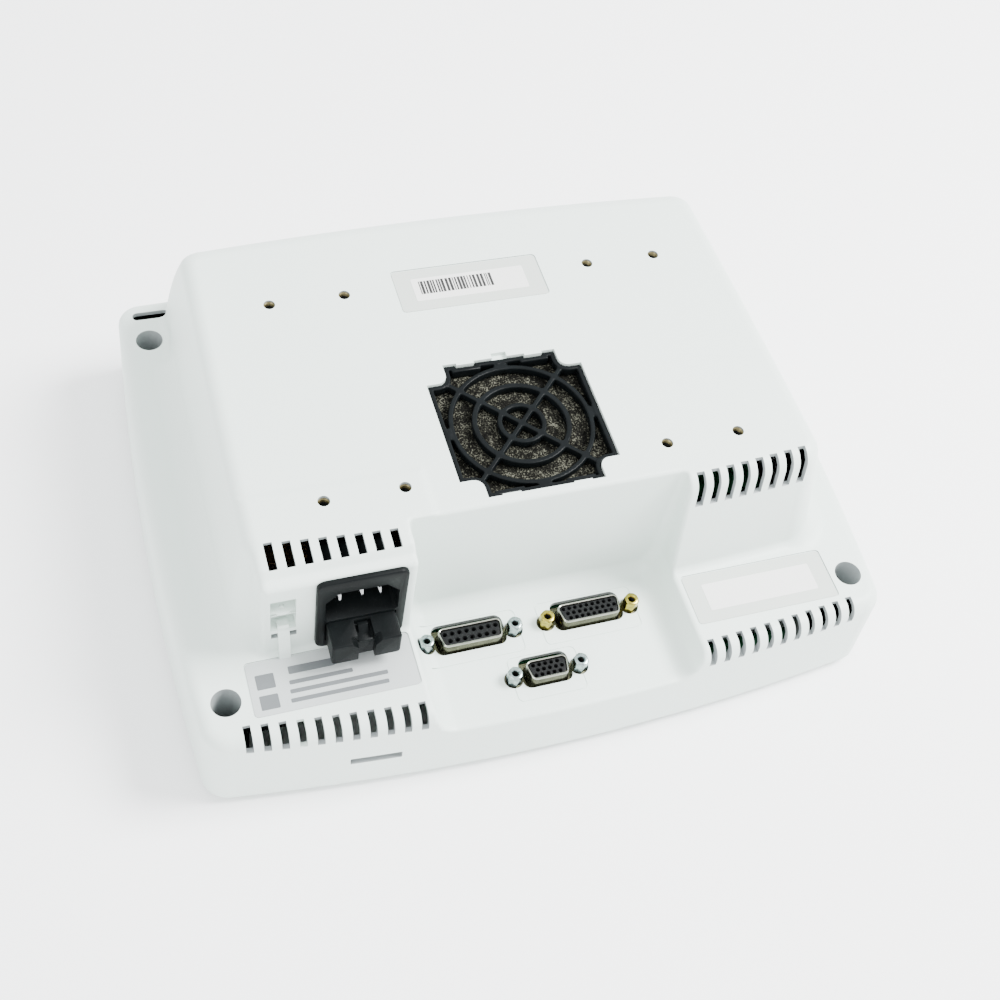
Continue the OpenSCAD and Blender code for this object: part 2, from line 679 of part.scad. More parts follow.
module fuses() for (s = [-1, 1]) translate([inlet_x + s * 5.8, inlet_face_y + 18.8, drawer_z]) rotate([90, 0, 0]) {
    color([0.85, 0.87, 0.88]) translate([0, 0, 5]) cylinder(r = 2.4, h = 10);
    color(steel) for (z = [0, 15]) translate([0, 0, z]) cylinder(r = 2.7, h = 5);
}

module corner_screws() color([0.55, 0.56, 0.58]) at_corners() difference() {
    union() {
        translate([0, 0, screw_seat_z]) cylinder(r = 4.2, h = 3.4);
        translate([0, 0, 4.6]) cylinder(r = 1.95, h = screw_seat_z - 4.5);
    }
    for (a = [0, 90]) rotate(a) translate([-2.4, -0.5, screw_seat_z + 1.6]) cube([4.8, 1, 4]);
}

module label(at, top_z, size) translate([at[0] - size[0] / 2, at[1] - size[1] / 2, top_z - label_depth])
    cube([size[0], size[1], 0.2]);

module barcode_label() color([0.93, 0.93, 0.92]) label(barcode_at, unit_d, [57.4, 20.4]);
module serial_label() color([0.90, 0.91, 0.88]) label(serial_at, flange_z, [57.4, 20.4]);
module rating_label() color([0.80, 0.82, 0.81]) label(rating_at, flange_z, [57.4, 20.4]);

module key_board() {
    color(board_green) translate([light_x - 4, key_y - 5, key_board_z]) cube([46, 10, board_t]);
    color([0.12, 0.12, 0.13]) for (x = key_xs)
        translate([x - 3, key_y - 3, key_board_z - 2.2]) cube([6, 6, 2.2 + eps]);
}

module key(x) color([0.74, 0.77, 0.78]) translate([x, key_y, 0]) {
    translate([0, 0, 0.9]) cylinder(r = key_r, h = 3);
    translate([0, 0, 3.05]) cylinder(r = key_r + 1, h = 1);
    translate([0, 0, 3.9]) cylinder(r = 1.5, h = key_board_z - 2.3 - key_travel - 3.9);
}

module standby_key() key(key_xs[0]);
module dimmer_key() key(key_xs[1]);
module brighter_key() key(key_xs[2]);

module status_light() color([0.70, 0.85, 0.72, 0.7]) translate([light_x, key_y, 0.6])
    cylinder(r = 1.5, h = key_board_z - 0.62);

rear_cover();
front_bezel();
window_gasket();
screen_window();
lcd_panel();
chassis_plate();
chassis_screws();
board_standoffs();
main_board();
connector_board();
power_supply();
power_shield();
backlight_inverter();
display_cable();
mains_wires();
fan_frame();
fan_rotor();
fan_screws();
filter_foam();
filter_cover();
inner_inserts();
outer_inserts();
dsub15_shell();
dsub15_insulator();
dsub26_shell();
dsub26_insulator();
vga_shell();
vga_insulator();
zinc_jackscrews();
gold_jackscrews();
mains_inlet();
inlet_pins();
fuse_drawer();
fuses();
corner_screws();
barcode_label();
serial_label();
rating_label();
key_board();
standby_key();
dimmer_key();
brighter_key();
status_light();
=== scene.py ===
import math

import bmesh
import bpy
import numpy as np
from mathutils import Matrix, Vector


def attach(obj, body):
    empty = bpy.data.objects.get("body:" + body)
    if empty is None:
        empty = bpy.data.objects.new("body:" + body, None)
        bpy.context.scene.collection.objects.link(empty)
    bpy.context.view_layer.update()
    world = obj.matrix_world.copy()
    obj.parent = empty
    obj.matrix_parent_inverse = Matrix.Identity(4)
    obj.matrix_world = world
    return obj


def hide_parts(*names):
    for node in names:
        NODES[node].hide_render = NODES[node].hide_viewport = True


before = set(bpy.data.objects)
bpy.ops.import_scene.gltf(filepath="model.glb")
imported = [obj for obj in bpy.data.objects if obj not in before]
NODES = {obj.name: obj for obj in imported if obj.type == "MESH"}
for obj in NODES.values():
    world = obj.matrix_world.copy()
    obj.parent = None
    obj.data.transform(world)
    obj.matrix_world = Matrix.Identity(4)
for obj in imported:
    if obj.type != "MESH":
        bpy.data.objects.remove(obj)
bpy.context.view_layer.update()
MM = 0.001

# Main places, in millimetres, as in the CAD source.
DEPTH = 86.0
FLANGE = 41.2
FLOOR = 29.0
RIM = 3.5
FAN_Y = -17.4
SCREWS = [(sx * 118, y) for sx in (-1, 1) for y in (-80.3, 81.4)]
INSERTS = [(sx * x, 7.1 + sy * 44.45) for x in (48.25, 76.2) for sx in (-1, 1) for sy in (-1, 1)]
INLET_X, INLET_FACE = -69.4, -67.4
DSUBS = {
    "dsub15": dict(at=(-27.9, -69), size=(24.7, 7.9), pitch=33.3, outline=19.0,
                   rows=[(8, 1.42, 0), (7, -1.42, 0)], step=2.74, hole=0.85),
    "dsub26": dict(at=(18, -69), size=(24.7, 7.9), pitch=33.3, outline=19.0,
                   rows=[(9, 2.0, -0.6), (9, 0.0, 0.6), (8, -2.0, 0.0)], step=2.29, hole=0.72),
    "vga": dict(at=(-4.7, -88.6), size=(16.4, 7.9), pitch=25.0, outline=13.2,
                rows=[(5, 2.0, -0.6), (5, 0.0, 0.6), (5, -2.0, -0.6)], step=2.29, hole=0.72),
}

# Places of the details, in millimetres.
SOCKET_Z = 68.0
DRAWER_Z, DRAWER_OUT = 52.4, 10
PIN_Z, PIN_PITCH, EARTH_RISE = 67, 7, 4
CLAMP_X = -95.6
WELL_R, WELL_Z = 5.15, 16
SLOT_PITCH = 5.9
UPPER_SLOTS, FIRST_UPPER_X = 8, 55.4
LOWER_SLOTS, FIRST_LOWER_X = 11, 54.2
LABEL_DEPTH = 0.4
TOP_LABEL, SERIAL_LABEL, RATING_LABEL = (0, 49.4), (81.7, -78.2), (-80.9, -77.8)
KEYS, KEY_Y = {"standby": 70, "dimmer": 84, "brighter": 98}, -88


# ---------------------------------------------------------------- camera, light and floor
def make_camera():
    data = bpy.data.cameras.new("camera")
    data.lens, data.sensor_width = 49.09, 36
    data.clip_start, data.clip_end = 0.02, 20
    cam = bpy.data.objects.new("camera", data)
    right = Vector((0.948078, -0.289726, 0.131174))
    up = Vector((0.169069, 0.808476, 0.563722))
    back = Vector((-0.269376, -0.512275, 0.815482))
    turn = Matrix((right, up, back)).transposed()
    cam.matrix_world = Matrix.Translation((-0.1424, -0.2851, 0.4624)) @ turn.to_4x4()
    bpy.context.scene.collection.objects.link(cam)
    bpy.context.scene.camera = cam


def area_light(name, place, size, power, target=(0, 0, 0.04)):
    data = bpy.data.lights.new(name, "AREA")
    data.shape, data.size, data.energy = "DISK", size, power
    lamp = bpy.data.objects.new(name, data)
    lamp.location = place
    lamp.rotation_mode = "QUATERNION"
    lamp.rotation_quaternion = (Vector(target) - Vector(place)).to_track_quat("-Z", "Y")
    bpy.context.scene.collection.objects.link(lamp)


def make_studio():
    world = bpy.data.worlds.new("studio")
    world.use_nodes = True
    sky = world.node_tree.nodes["Background"]
    sky.inputs["Color"].default_value = (0.96, 0.98, 1.0, 1)
    sky.inputs["Strength"].default_value = 2.45
    bpy.context.scene.world = world
    area_light("key", (0.95, -0.1, 1.25), 0.7, 80)
    area_light("fill", (-0.9, -0.4, 1.1), 0.9, 8)
    bpy.ops.mesh.primitive_circle_add(vertices=96, radius=2.6, fill_type="NGON")
    floor = bpy.context.object
    floor.name = "floor"
    floor.data.materials.append(new_material("floor_white", (0.97, 0.97, 0.97), 0.8)[0])


# ---------------------------------------------------------------- materials
def new_material(name, colour, rough, metal=0.0, **more):
    mat = bpy.data.materials.new(name)
    mat.use_nodes = True
    nodes, links = mat.node_tree.nodes, mat.node_tree.links
    shader = nodes["Principled BSDF"]
    shader.inputs["Base Color"].default_value = (*colour, 1)
    shader.inputs["Roughness"].default_value = rough
    shader.inputs["Metallic"].default_value = metal
    for key, value in more.items():
        shader.inputs[key.replace("_", " ")].default_value = value
    return mat, nodes, links, shader


def textured(name, colour, rough, metal=0.0, spread=0.05, blotch=18.0, grain=2200.0,
             bump=0.12, rough_spread=0.08, stretch=(1, 1, 1), detail=3.0, **more):
    """Principled material with blotchy colour and roughness, and a fine grain in its bump."""
    mat, nodes, links, shader = new_material(name, colour, rough, metal, **more)
    place = nodes.new("ShaderNodeTexCoord")
    scale = nodes.new("ShaderNodeMapping")
    scale.inputs["Scale"].default_value = stretch
    links.new(place.outputs["Object"], scale.inputs["Vector"])

    def noise(size, depth):
        n = nodes.new("ShaderNodeTexNoise")
        n.inputs["Scale"].default_value = size
        n.inputs["Detail"].default_value = depth
        links.new(scale.outputs["Vector"], n.inputs["Vector"])
        return n

    broad, fine = noise(blotch, 3.0), noise(grain, detail)
    tint = nodes.new("ShaderNodeValToRGB")
    for stop, k in zip(tint.color_ramp.elements, (1 - spread, 1 + spread)):
        stop.color = (*(min(c * k, 1.0) for c in colour), 1)
    tint.color_ramp.elements[0].position, tint.color_ramp.elements[1].position = 0.3, 0.7
    links.new(broad.outputs["Fac"], tint.inputs["Fac"])
    links.new(tint.outputs["Color"], shader.inputs["Base Color"])
    remap = nodes.new("ShaderNodeMapRange")
    remap.inputs["To Min"].default_value = max(rough - rough_spread, 0.02)
    remap.inputs["To Max"].default_value = min(rough + rough_spread, 1.0)
    links.new(fine.outputs["Fac"], remap.inputs["Value"])
    links.new(remap.outputs["Result"], shader.inputs["Roughness"])
    relief = nodes.new("ShaderNodeBump")
    relief.inputs["Strength"].default_value = bump
    relief.inputs["Distance"].default_value = 0.0002
    links.new(fine.outputs["Fac"], relief.inputs["Height"])
    links.new(relief.outputs["Normal"], shader.inputs["Normal"])
    return mat


def foam_material():
    """Open-cell foam: painted shade in the dark pits and a painted glint on the pale cell walls."""
    mat, nodes, links, shader = new_material("foam_cells", (0.1, 0.1, 0.09), 0.8, Specular_IOR_Level=0.05)
    place = nodes.new("ShaderNodeTexCoord")
    cells = nodes.new("ShaderNodeTexVoronoi")
    cells.inputs["Scale"].default_value = 1900
    mottle = nodes.new("ShaderNodeTexNoise")
    mottle.inputs["Scale"].default_value = 260
    mottle.inputs["Detail"].default_value = 5
    for n in (cells, mottle):
        links.new(place.outputs["Object"], n.inputs["Vector"])
    mixed = nodes.new("ShaderNodeMath")
    mixed.operation = "MULTIPLY"
    links.new(cells.outputs["Distance"], mixed.inputs[0])
    links.new(mottle.outputs["Fac"], mixed.inputs[1])
    ramp = nodes.new("ShaderNodeValToRGB")
    # darkest stop for the pits (painted shade), palest for the cell walls (painted glint)
    marks = [(0.15, (0.0022, 0.0022, 0.0018)), (0.29, (0.009, 0.009, 0.007)), (0.42, (0.085, 0.085, 0.066))]
    ramp.color_ramp.elements.new(0.5)
    for stop, (at, c) in zip(ramp.color_ramp.elements, marks):
        stop.position, stop.color = at, (*c, 1)
    links.new(mixed.outputs["Value"], ramp.inputs["Fac"])
    links.new(ramp.outputs["Color"], shader.inputs["Base Color"])
    relief = nodes.new("ShaderNodeBump")
    relief.inputs["Strength"].default_value = 0.9
    relief.inputs["Distance"].default_value = 0.0006
    links.new(mixed.outputs["Value"], relief.inputs["Height"])
    links.new(relief.outputs["Normal"], shader.inputs["Normal"])
    return mat


MAT = {
    "shell": textured("moulded_white", (0.67, 0.75, 0.705), 0.48, spread=0.012, grain=3000,
                      bump=0.10, rough_spread=0.06, blotch=9),
    # darker grey for cut faces in slots, wells and holes: painted shade
    "recess": textured("recess_painted_shade", (0.33, 0.36, 0.36), 0.55, spread=0.02, grain=3000, bump=0.08,
                       blotch=9),
    # near-black inside of the cover: painted shade that keeps the slots dark
    "inner": textured("inner_painted_shade", (0.010, 0.010, 0.010), 0.8, Specular_IOR_Level=0.1),
    "black": textured("black_plastic", (0.0036, 0.0046, 0.0048), 0.42, grain=2600, bump=0.25, spread=0.3,
                      blotch=90, Specular_IOR_Level=0.07),
    "grille": textured("grille_plastic", (0.0030, 0.0040, 0.0044), 0.34, grain=2000, bump=0.15, spread=0.3,
                       blotch=70, Specular_IOR_Level=0.07),
    "insulator": textured("connector_plastic", (0.0062, 0.0066, 0.0068), 0.45, grain=3500, bump=0.1,
                          spread=0.15, Specular_IOR_Level=0.10),
    # D-sub shell: olive tint of the chromated metal, darkened as painted shade and dark reflection; the rim
    # is a lighter copy of the same metal, a painted highlight
    "shell_metal": textured("chromated_shell", (0.085, 0.083, 0.052), 0.28, 1.0, spread=0.3, blotch=260,
                            grain=900, bump=0.06),
    "rim": textured("chromated_rim_painted_highlight", (0.36, 0.36, 0.31), 0.2, 1.0, spread=0.15, blotch=300, grain=900,
                    bump=0.05),
    "zinc": textured("bright_zinc", (0.30, 0.36, 0.355), 0.22, 1.0, spread=0.35, blotch=700, grain=1500,
                     bump=0.08),
    "gold": textured("yellow_zinc", (0.34, 0.285, 0.055), 0.24, 1.0, spread=0.3, blotch=700, grain=1500,
                     bump=0.08),
    "dark_bore": textured("thread_shadow", (0.012, 0.013, 0.011), 0.5, 0.6, spread=0.3),
    "brass": textured("turned_brass", (0.17, 0.145, 0.075), 0.3, 1.0, spread=0.3, blotch=500, grain=1500,
                      bump=0.1),
    "steel": textured("rolled_steel", (0.42, 0.43, 0.44), 0.32, 1.0, spread=0.08, blotch=60, grain=900,
                      bump=0.1, stretch=(1, 0.08, 1)),
    "pins": textured("plated_pins", (0.55, 0.56, 0.57), 0.16, 1.0, spread=0.05, blotch=300, grain=1500,
                     bump=0.03),
    "board": textured("board_green", (0.03, 0.16, 0.07), 0.3, spread=0.25, blotch=220, grain=900,
                      bump=0.15),
    "laminate": textured("board_brown", (0.32, 0.21, 0.09), 0.5, spread=0.2, blotch=200, grain=900,
                         bump=0.15),
    "vinyl": textured("cable_vinyl", (0.55, 0.52, 0.46), 0.45, spread=0.1),
    "lcd": textured("display_face", (0.012, 0.013, 0.015), 0.28, spread=0.2, grain=2500, bump=0.05),
    "gasket": textured("gasket_rubber", (0.02, 0.02, 0.02), 0.7, spread=0.2, bump=0.3),
    "paper": textured("label_white", (0.72, 0.72, 0.70), 0.5, spread=0.01, grain=2500, bump=0.05),
    "border": textured("label_border", (0.50, 0.54, 0.50), 0.5, spread=0.02, grain=2500, bump=0.05),
    "film": textured("label_film", (0.43, 0.46, 0.455), 0.32, spread=0.02, grain=2500, bump=0.04),
    "ink": textured("label_ink", (0.010, 0.010, 0.010), 0.5, spread=0.2),
    "grey_ink": textured("label_grey_ink", (0.11, 0.12, 0.125), 0.5, spread=0.05),
    "key": textured("key_plastic", (0.42, 0.47, 0.49), 0.42, spread=0.03, grain=2600, bump=0.12),
    "foam": foam_material(),
}
CLEAR = {
    "glass": new_material("window_glass", (0.9, 0.95, 0.95), 0.04, Transmission_Weight=1.0, IOR=1.49),
    "light": new_material("light_pipe", (0.35, 0.75, 0.40), 0.15, Transmission_Weight=0.6),
}
for look, (clear, nodes, links, shader) in CLEAR.items():
    wave = nodes.new("ShaderNodeTexNoise")
    wave.inputs["Scale"].default_value = 40
    swell = nodes.new("ShaderNodeBump")
    swell.inputs["Strength"].default_value = 0.02
    links.new(wave.outputs["Fac"], swell.inputs["Height"])
    links.new(swell.outputs["Normal"], shader.inputs["Normal"])
    MAT[look] = clear


# ---------------------------------------------------------------- mesh helpers
def new_object(name, mesh):
    ob = bpy.data.objects.new(name, mesh)
    bpy.context.scene.collection.objects.link(ob)
    return ob


def from_parts(name, parts):
    """One object from several (points in mm, faces)."""
    points, faces = [], []
    for p, f in parts:
        faces += [tuple(i + len(points) for i in face) for face in f]
        points += [tuple(c * MM for c in q) for q in p]
    mesh = bpy.data.meshes.new(name)
    mesh.from_pydata(points, [], faces)
    bm = bmesh.new()
    bm.from_mesh(mesh)
    bmesh.ops.recalc_face_normals(bm, faces=bm.faces)
    bm.to_mesh(mesh)
    bm.free()
    return new_object(name, mesh)


def settle_modifiers(ob):
    """Replaces the mesh by what its modifiers make of it."""
    bpy.context.view_layer.update()
    result = bpy.data.meshes.new_from_object(ob.evaluated_get(bpy.context.evaluated_depsgraph_get()))
    ob.modifiers.clear()
    ob.data = result


AXES = {"x": (1, 2, 0), "y": (0, 2, 1), "z": (0, 1, 2)}


def prism(outline, low, high, along="z"):
    """Straight prism of a closed outline. For x it is drawn in (y, z), for y in (x, z), for z in (x, y)."""
    u, v, w = AXES[along]
    points = []
    for level in (low, high):
        for a, b in outline:
            p = [0.0] * 3
            p[u], p[v], p[w] = a, b, level
            points.append(p)
    n = len(outline)
    faces = [tuple(range(n)), tuple(range(2 * n - 1, n - 1, -1))]
    faces += [(i, (i + 1) % n, n + (i + 1) % n, n + i) for i in range(n)]
    return points, faces


def block(x0, x1, y0, y1, z0, z1):
    return prism([(x0, y0), (x1, y0), (x1, y1), (x0, y1)], z0, z1)


def ring_points(cx, cy, r, n=32, start=0.0):
    return [(cx + r * math.cos(start + 2 * math.pi * i / n), cy + r * math.sin(start + 2 * math.pi * i / n))
            for i in range(n)]


def rod(cx, cy, r, low, high, along="z", n=32):
    return prism(ring_points(cx, cy, r, n), low, high, along)


def rounded(cx, cy, w, h, r, steps=5):
    """Outline of a rectangle with round corners."""
    out = []
    for sx, sy, a in ((1, -1, -90), (1, 1, 0), (-1, 1, 90), (-1, -1, 180)):
        for i in range(steps + 1):
            t = math.radians(a + 90 * i / steps)
            out.append((cx + sx * (w / 2 - r) + r * math.cos(t), cy + sy * (h / 2 - r) + r * math.sin(t)))
    return out


def tube(outer, inner, low, high, along="z"):
    """Prism with a hole: both outlines have the same number of points."""
    u, v, w = AXES[along]
    n, points = len(outer), []
    for ring, level in ((outer, low), (outer, high), (inner, high), (inner, low)):
        for a, b in ring:
            p = [0.0] * 3
            p[u], p[v], p[w] = a, b, level
            points.append(p)
    faces = [(k * n + i, k * n + (i + 1) % n, (k + 1) % 4 * n + (i + 1) % n, (k + 1) % 4 * n + i)
             for k in range(4) for i in range(n)]
    return points, faces


def lathe(profile, cx, cy, n=32, along="z"):
    """Closed shape turned from (radius, height) pairs; its ends sit on the axis if radius is 0."""
    u, v, w = AXES[along]
    points, faces, rows = [], [], []
    for r, h in profile:
        row = []
        for i in range(1 if r < 1e-6 else n):
            p = [0.0] * 3
            p[u] = cx + r * math.cos(2 * math.pi * i / n)
            p[v] = cy + r * math.sin(2 * math.pi * i / n)
            p[w] = h
            row.append(len(points))
            points.append(p)
        rows.append(row)
    for a, b in zip(rows, rows[1:]):
        for i in range(n):
            j = (i + 1) % n
            face = [a[i % len(a)], a[j % len(a)], b[j % len(b)], b[i % len(b)]]
            faces.append(tuple(dict.fromkeys(face)))
    return points, faces


def carve(ob, parts, operation="DIFFERENCE"):
    cutter = from_parts("cutter", parts)
    m = ob.modifiers.new("cut", "BOOLEAN")
    m.solver, m.object, m.operation = "MANIFOLD", cutter, operation
    settle_modifiers(ob)
    bpy.data.objects.remove(cutter)


def soften(ob, width=0.25, segments=2, angle=35, limit=30):
    """Small rounded edges, then smooth shading between them."""
    if width:
        m = ob.modifiers.new("bevel", "BEVEL")
        m.width, m.segments, m.limit_method = width * MM, segments, "ANGLE"
        m.angle_limit = math.radians(limit)
        m.use_clamp_overlap = True
        m.harden_normals = False
        settle_modifiers(ob)
    ob.data.shade_smooth()
    ob.data.set_sharp_from_angle(angle=math.radians(angle))


def piece(ob, material, body="housing", replaces=()):
    if material:
        ob.data.materials.clear()
        ob.data.materials.append(MAT[material])
    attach(ob, body)
    if replaces:
        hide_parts(*replaces)
    return ob


# ---------------------------------------------------------------- rear cover
def joined(a, b, r):
    """Union of two distance fields with a concave fillet of radius r."""
    u, v = np.maximum(r - a, 0), np.maximum(r - b, 0)
    return np.maximum(r, np.minimum(a, b)) - np.sqrt(u * u + v * v)


def common(a, b, r):
    """Intersection of two distance fields with its convex edge rounded by r."""
    u, v = np.maximum(a + r, 0), np.maximum(b + r, 0)
    return np.minimum(-r, np.maximum(a, b)) + np.sqrt(u * u + v * v)


def step_up(x, a, b):
    t = np.clip((x - a) / (b - a), 0, 1)
    return t * t * (3 - 2 * t)


def plan(x, y, w, low, high, bulge_x, ends, radii, taper=0.0):
    """Distance to a rectangle with bulged sides and round corners. ends and radii list the low end first."""
    mid, half = (low + high) / 2, (high - low) / 2
    r = np.where(y < mid, radii[0], radii[1])
    bulge_y = np.where(y < mid, ends[0], ends[1])
    ty = np.clip((y - mid) / (half - bulge_y - r), -1, 1)
    tx = np.clip(x / (w - bulge_x - r), -1, 1)
    dx = np.abs(x) - (w - bulge_x * ty * ty - taper * ty)
    dy = np.abs(y - mid) - (half - bulge_y * tx * tx)
    u, v = np.maximum(dx + r, 0), np.maximum(dy + r, 0)
    return np.minimum(np.maximum(dx + r, dy + r), 0) + np.sqrt(u * u + v * v) - r


def ledge(x, y, z, face_y, top_z, left, r):
    side = common(left - x, face_y - y, r)
    return common(np.maximum(np.maximum(side, x + 40), y + 30), z - top_z, r)


def outer_form(x, y, z):
    """Distance field of the rear cover's outer shape."""
    draft = np.clip((z - RIM) / 30.7, 0, 1.15)
    body = plan(x, y, 133.6 - draft, -106.2 + 2.4 * draft, 106.2 - 2.4 * draft, 4, (7.6, 1.8), (10, 9))
    body = common(body, z - FLANGE, 5 - 2 * step_up(y, 78, 100))
    rise = np.clip((z - FLANGE) / (DEPTH - FLANGE), -0.4, 1.05)
    hump = plan(x, y, 112.3 - 7.6 * rise, -66.2 + 9 * rise, 103.2 - 17.4 * np.maximum(rise, 0) ** 1.9,
                0.5, (3.4, 3), (np.clip(13 - 4 * rise, 8, 14), np.clip(13 - 6 * rise, 6, 14)), 0.9)
    hump = common(hump, z - DEPTH, 5.0)
    hump = common(hump, 8.4 - np.hypot(np.abs(x) - 118, y - 81.4), 1.6)
    near_screw = 1 - step_up(np.abs(y - 81.4), 8, 16)
    fillet = 2.6 + 5 * step_up(np.abs(x), 98, 110) * (1 - step_up(y, 82, 91)) * (1 - 0.8 * near_screw)
    form = joined(body, hump, fillet)
    form = joined(form, ledge(x, y, z, -60.6, DEPTH, -103.4, 3.0), 2.0)
    form = joined(form, ledge(x, y, z, -65.4, 83, -102.8, 2.0), 2.2)
    wall_x = np.where(z < FLANGE, 46.5 + 4 * (z - FLOOR) / 12.2, 50.5)
    r = np.clip(5 - 3.5 * (z - FLOOR) / (DEPTH - FLOOR), 1.5, 5)
    gaps = [(np.abs(x) - wall_x) * 0.97, y + 50.2 + 2.6 * (DEPTH - z) / (DEPTH - FLOOR), FLOOR - z]
    rounding = np.sqrt(sum(np.maximum(g + r, 0) ** 2 for g in gaps)) - r
    pocket = np.minimum(np.maximum.reduce(gaps) + r, 0) + rounding
    return common(common(form, -pocket, 1.1), RIM - z, 1.0)


def hollow_form(x, y, z):
    """Space inside the cover, clear of the screw sleeves and the insert sockets."""
    space = np.maximum(outer_form(x, y, np.maximum(z, 9.0)) + 1.9, -3 - z)
    for sx, sy in SCREWS:
        space = np.maximum(space, 7.2 - np.hypot(x - sx, y - sy))
    space = np.maximum(space, np.minimum(np.minimum(-98.2 - y, z - 24), x - 40))
    # solid behind the cord clamp, so that its recess stays blind
    behind_clamp = np.maximum(np.maximum(np.abs(x - CLAMP_X) - 6.8, y + 56), np.abs(z - 63) - 16)
    return np.maximum(space, -behind_clamp)


def surface_nets(field, low, high, cell):
    """Closed quad mesh of a field's zero surface, with one point in each crossed cell."""
    axes = [np.arange(a, b + cell, cell) for a, b in zip(low, high)]
    size = [len(a) for a in axes]
    values = np.empty(size, np.float32)
    gy, gz = np.meshgrid(axes[1], axes[2], indexing="ij")
    for i in range(0, size[0], 16):
        gx = axes[0][i:i + 16, None, None]
        values[i:i + 16] = field(gx + 0 * gy, gy + 0 * gx, gz + 0 * gx)
    inside = values < 0
    corners = [(a, b, c) for a in (0, 1) for b in (0, 1) for c in (0, 1)]

    def part(array, c):
        return array[tuple(slice(k, n - 1 + k) for k, n in zip(c, size))]

    count = sum(part(inside, c).astype(np.int8) for c in corners)
    mixed = (count > 0) & (count < 8)
    cells = np.argwhere(mixed)
    index = -np.ones(mixed.shape, np.int64)
    index[mixed] = np.arange(len(cells))
    total, weight = np.zeros((len(cells), 3)), np.zeros(len(cells))
    for a in corners:
        for k in (k for k in range(3) if not a[k]):
            b = tuple(1 if j == k else a[j] for j in range(3))
            va, vb = part(values, a)[mixed], part(values, b)[mixed]
            cross = (va < 0) != (vb < 0)
            t = np.where(cross, va / np.where(cross, va - vb, 1), 0)
            total += (np.array(a, float) + t[:, None] * np.eye(3)[k]) * cross[:, None]
            weight += cross
    points = (cells + total / weight[:, None]) * cell + np.array([a[0] for a in axes])
    quads = []
    for k in range(3):
        o, p = [j for j in range(3) if j != k]
        near, far = [slice(1, -1)] * 3, [slice(1, -1)] * 3
        near[k], far[k] = slice(0, -1), slice(1, None)
        a, b = inside[tuple(near)], inside[tuple(far)]
        where = np.argwhere(a != b)
        flip = b[tuple(where.T)] != (k == 1)
        base = where + np.array([0 if j == k else 1 for j in range(3)])
        ring = []
        for d_o, d_p in ((1, 1), (0, 1), (0, 0), (1, 0)):
            q = base.copy()
            q[:, o] -= d_o
            q[:, p] -= d_p
            ring.append(index[tuple(q.T)])
        ring = np.stack(ring, 1)
        quads.append(np.where(flip[:, None], ring[:, ::-1], ring))
    return points, np.concatenate(quads)


def slope(field, p, step=0.05):
    g = np.empty_like(p)
    for k in range(3):
        d = np.eye(3)[k] * step
        g[:, k] = (field(*(p + d).T) - field(*(p - d).T)) / (2 * step)
    return g


def pull_in(field, p, passes=4):
    """Moves points onto the field's zero surface."""
    for _ in range(passes):
        g = slope(field, p)
        squared = np.maximum((g * g).sum(1), 0.2)
        p = p - g * (np.clip(field(*p.T), -0.6, 0.6) / squared)[:, None]
    return p


def points_of(mesh):
    co = np.empty(len(mesh.vertices) * 3)
    mesh.vertices.foreach_get("co", co)
    return co.reshape(-1, 3) / MM


def field_object(name, field, low, high, cell, keep):
    points, quads = surface_nets(field, low, high, cell)
    mesh = bpy.data.meshes.new(name)
    mesh.from_pydata((pull_in(field, points) * MM).tolist(), [], quads.tolist())
    ob = new_object(name, mesh)
    m = ob.modifiers.new("thin", "DECIMATE")
    m.ratio = keep
    settle_modifiers(ob)
    ob.data.vertices.foreach_set("co", (pull_in(field, points_of(ob.data)) * MM).ravel())
    return ob


def filter_outline(side, bite, r, tabs=0.0, notch=0.0, steps=5):
    """Square round the fan with a rounded bite out of each corner, drawn anticlockwise."""
    h, out = side / 2, []
    for turn in range(4):
        c, s = (1, 0, -1, 0)[turn], (0, 1, 0, -1)[turn]
        local = []
        if tabs and turn in (1, 3):
            depth = tabs * (1.0 if turn == 1 else 0.55)
            low_high = [(-h + bite, h), (-16.4, h), (-16.4, h - depth), (-9.7, h - depth), (-9.7, h)]
            mirror = [(-x, y) for x, y in reversed(low_high)]
            middle = [(-3.2, h), (-3.2, h + notch), (3.2, h + notch), (3.2, h)]
            if not notch or turn != 1:
                middle = []
            edge = low_high + middle + mirror
            local = [(y, -x) for x, y in reversed(edge)]
        else:
            local = [(h, -h + bite), (h, h - bite)]
        corner = []
        for i in range(steps + 1):
            t = math.radians(90 * i / steps)
            corner.append((h - bite + r * (1 - math.sin(t)), h - bite + r * (1 - math.cos(t))))
        local += corner
        out += [(x * c - y * s, x * s + y * c) for x, y in local]
    return [(x, y + FAN_Y) for x, y in out]


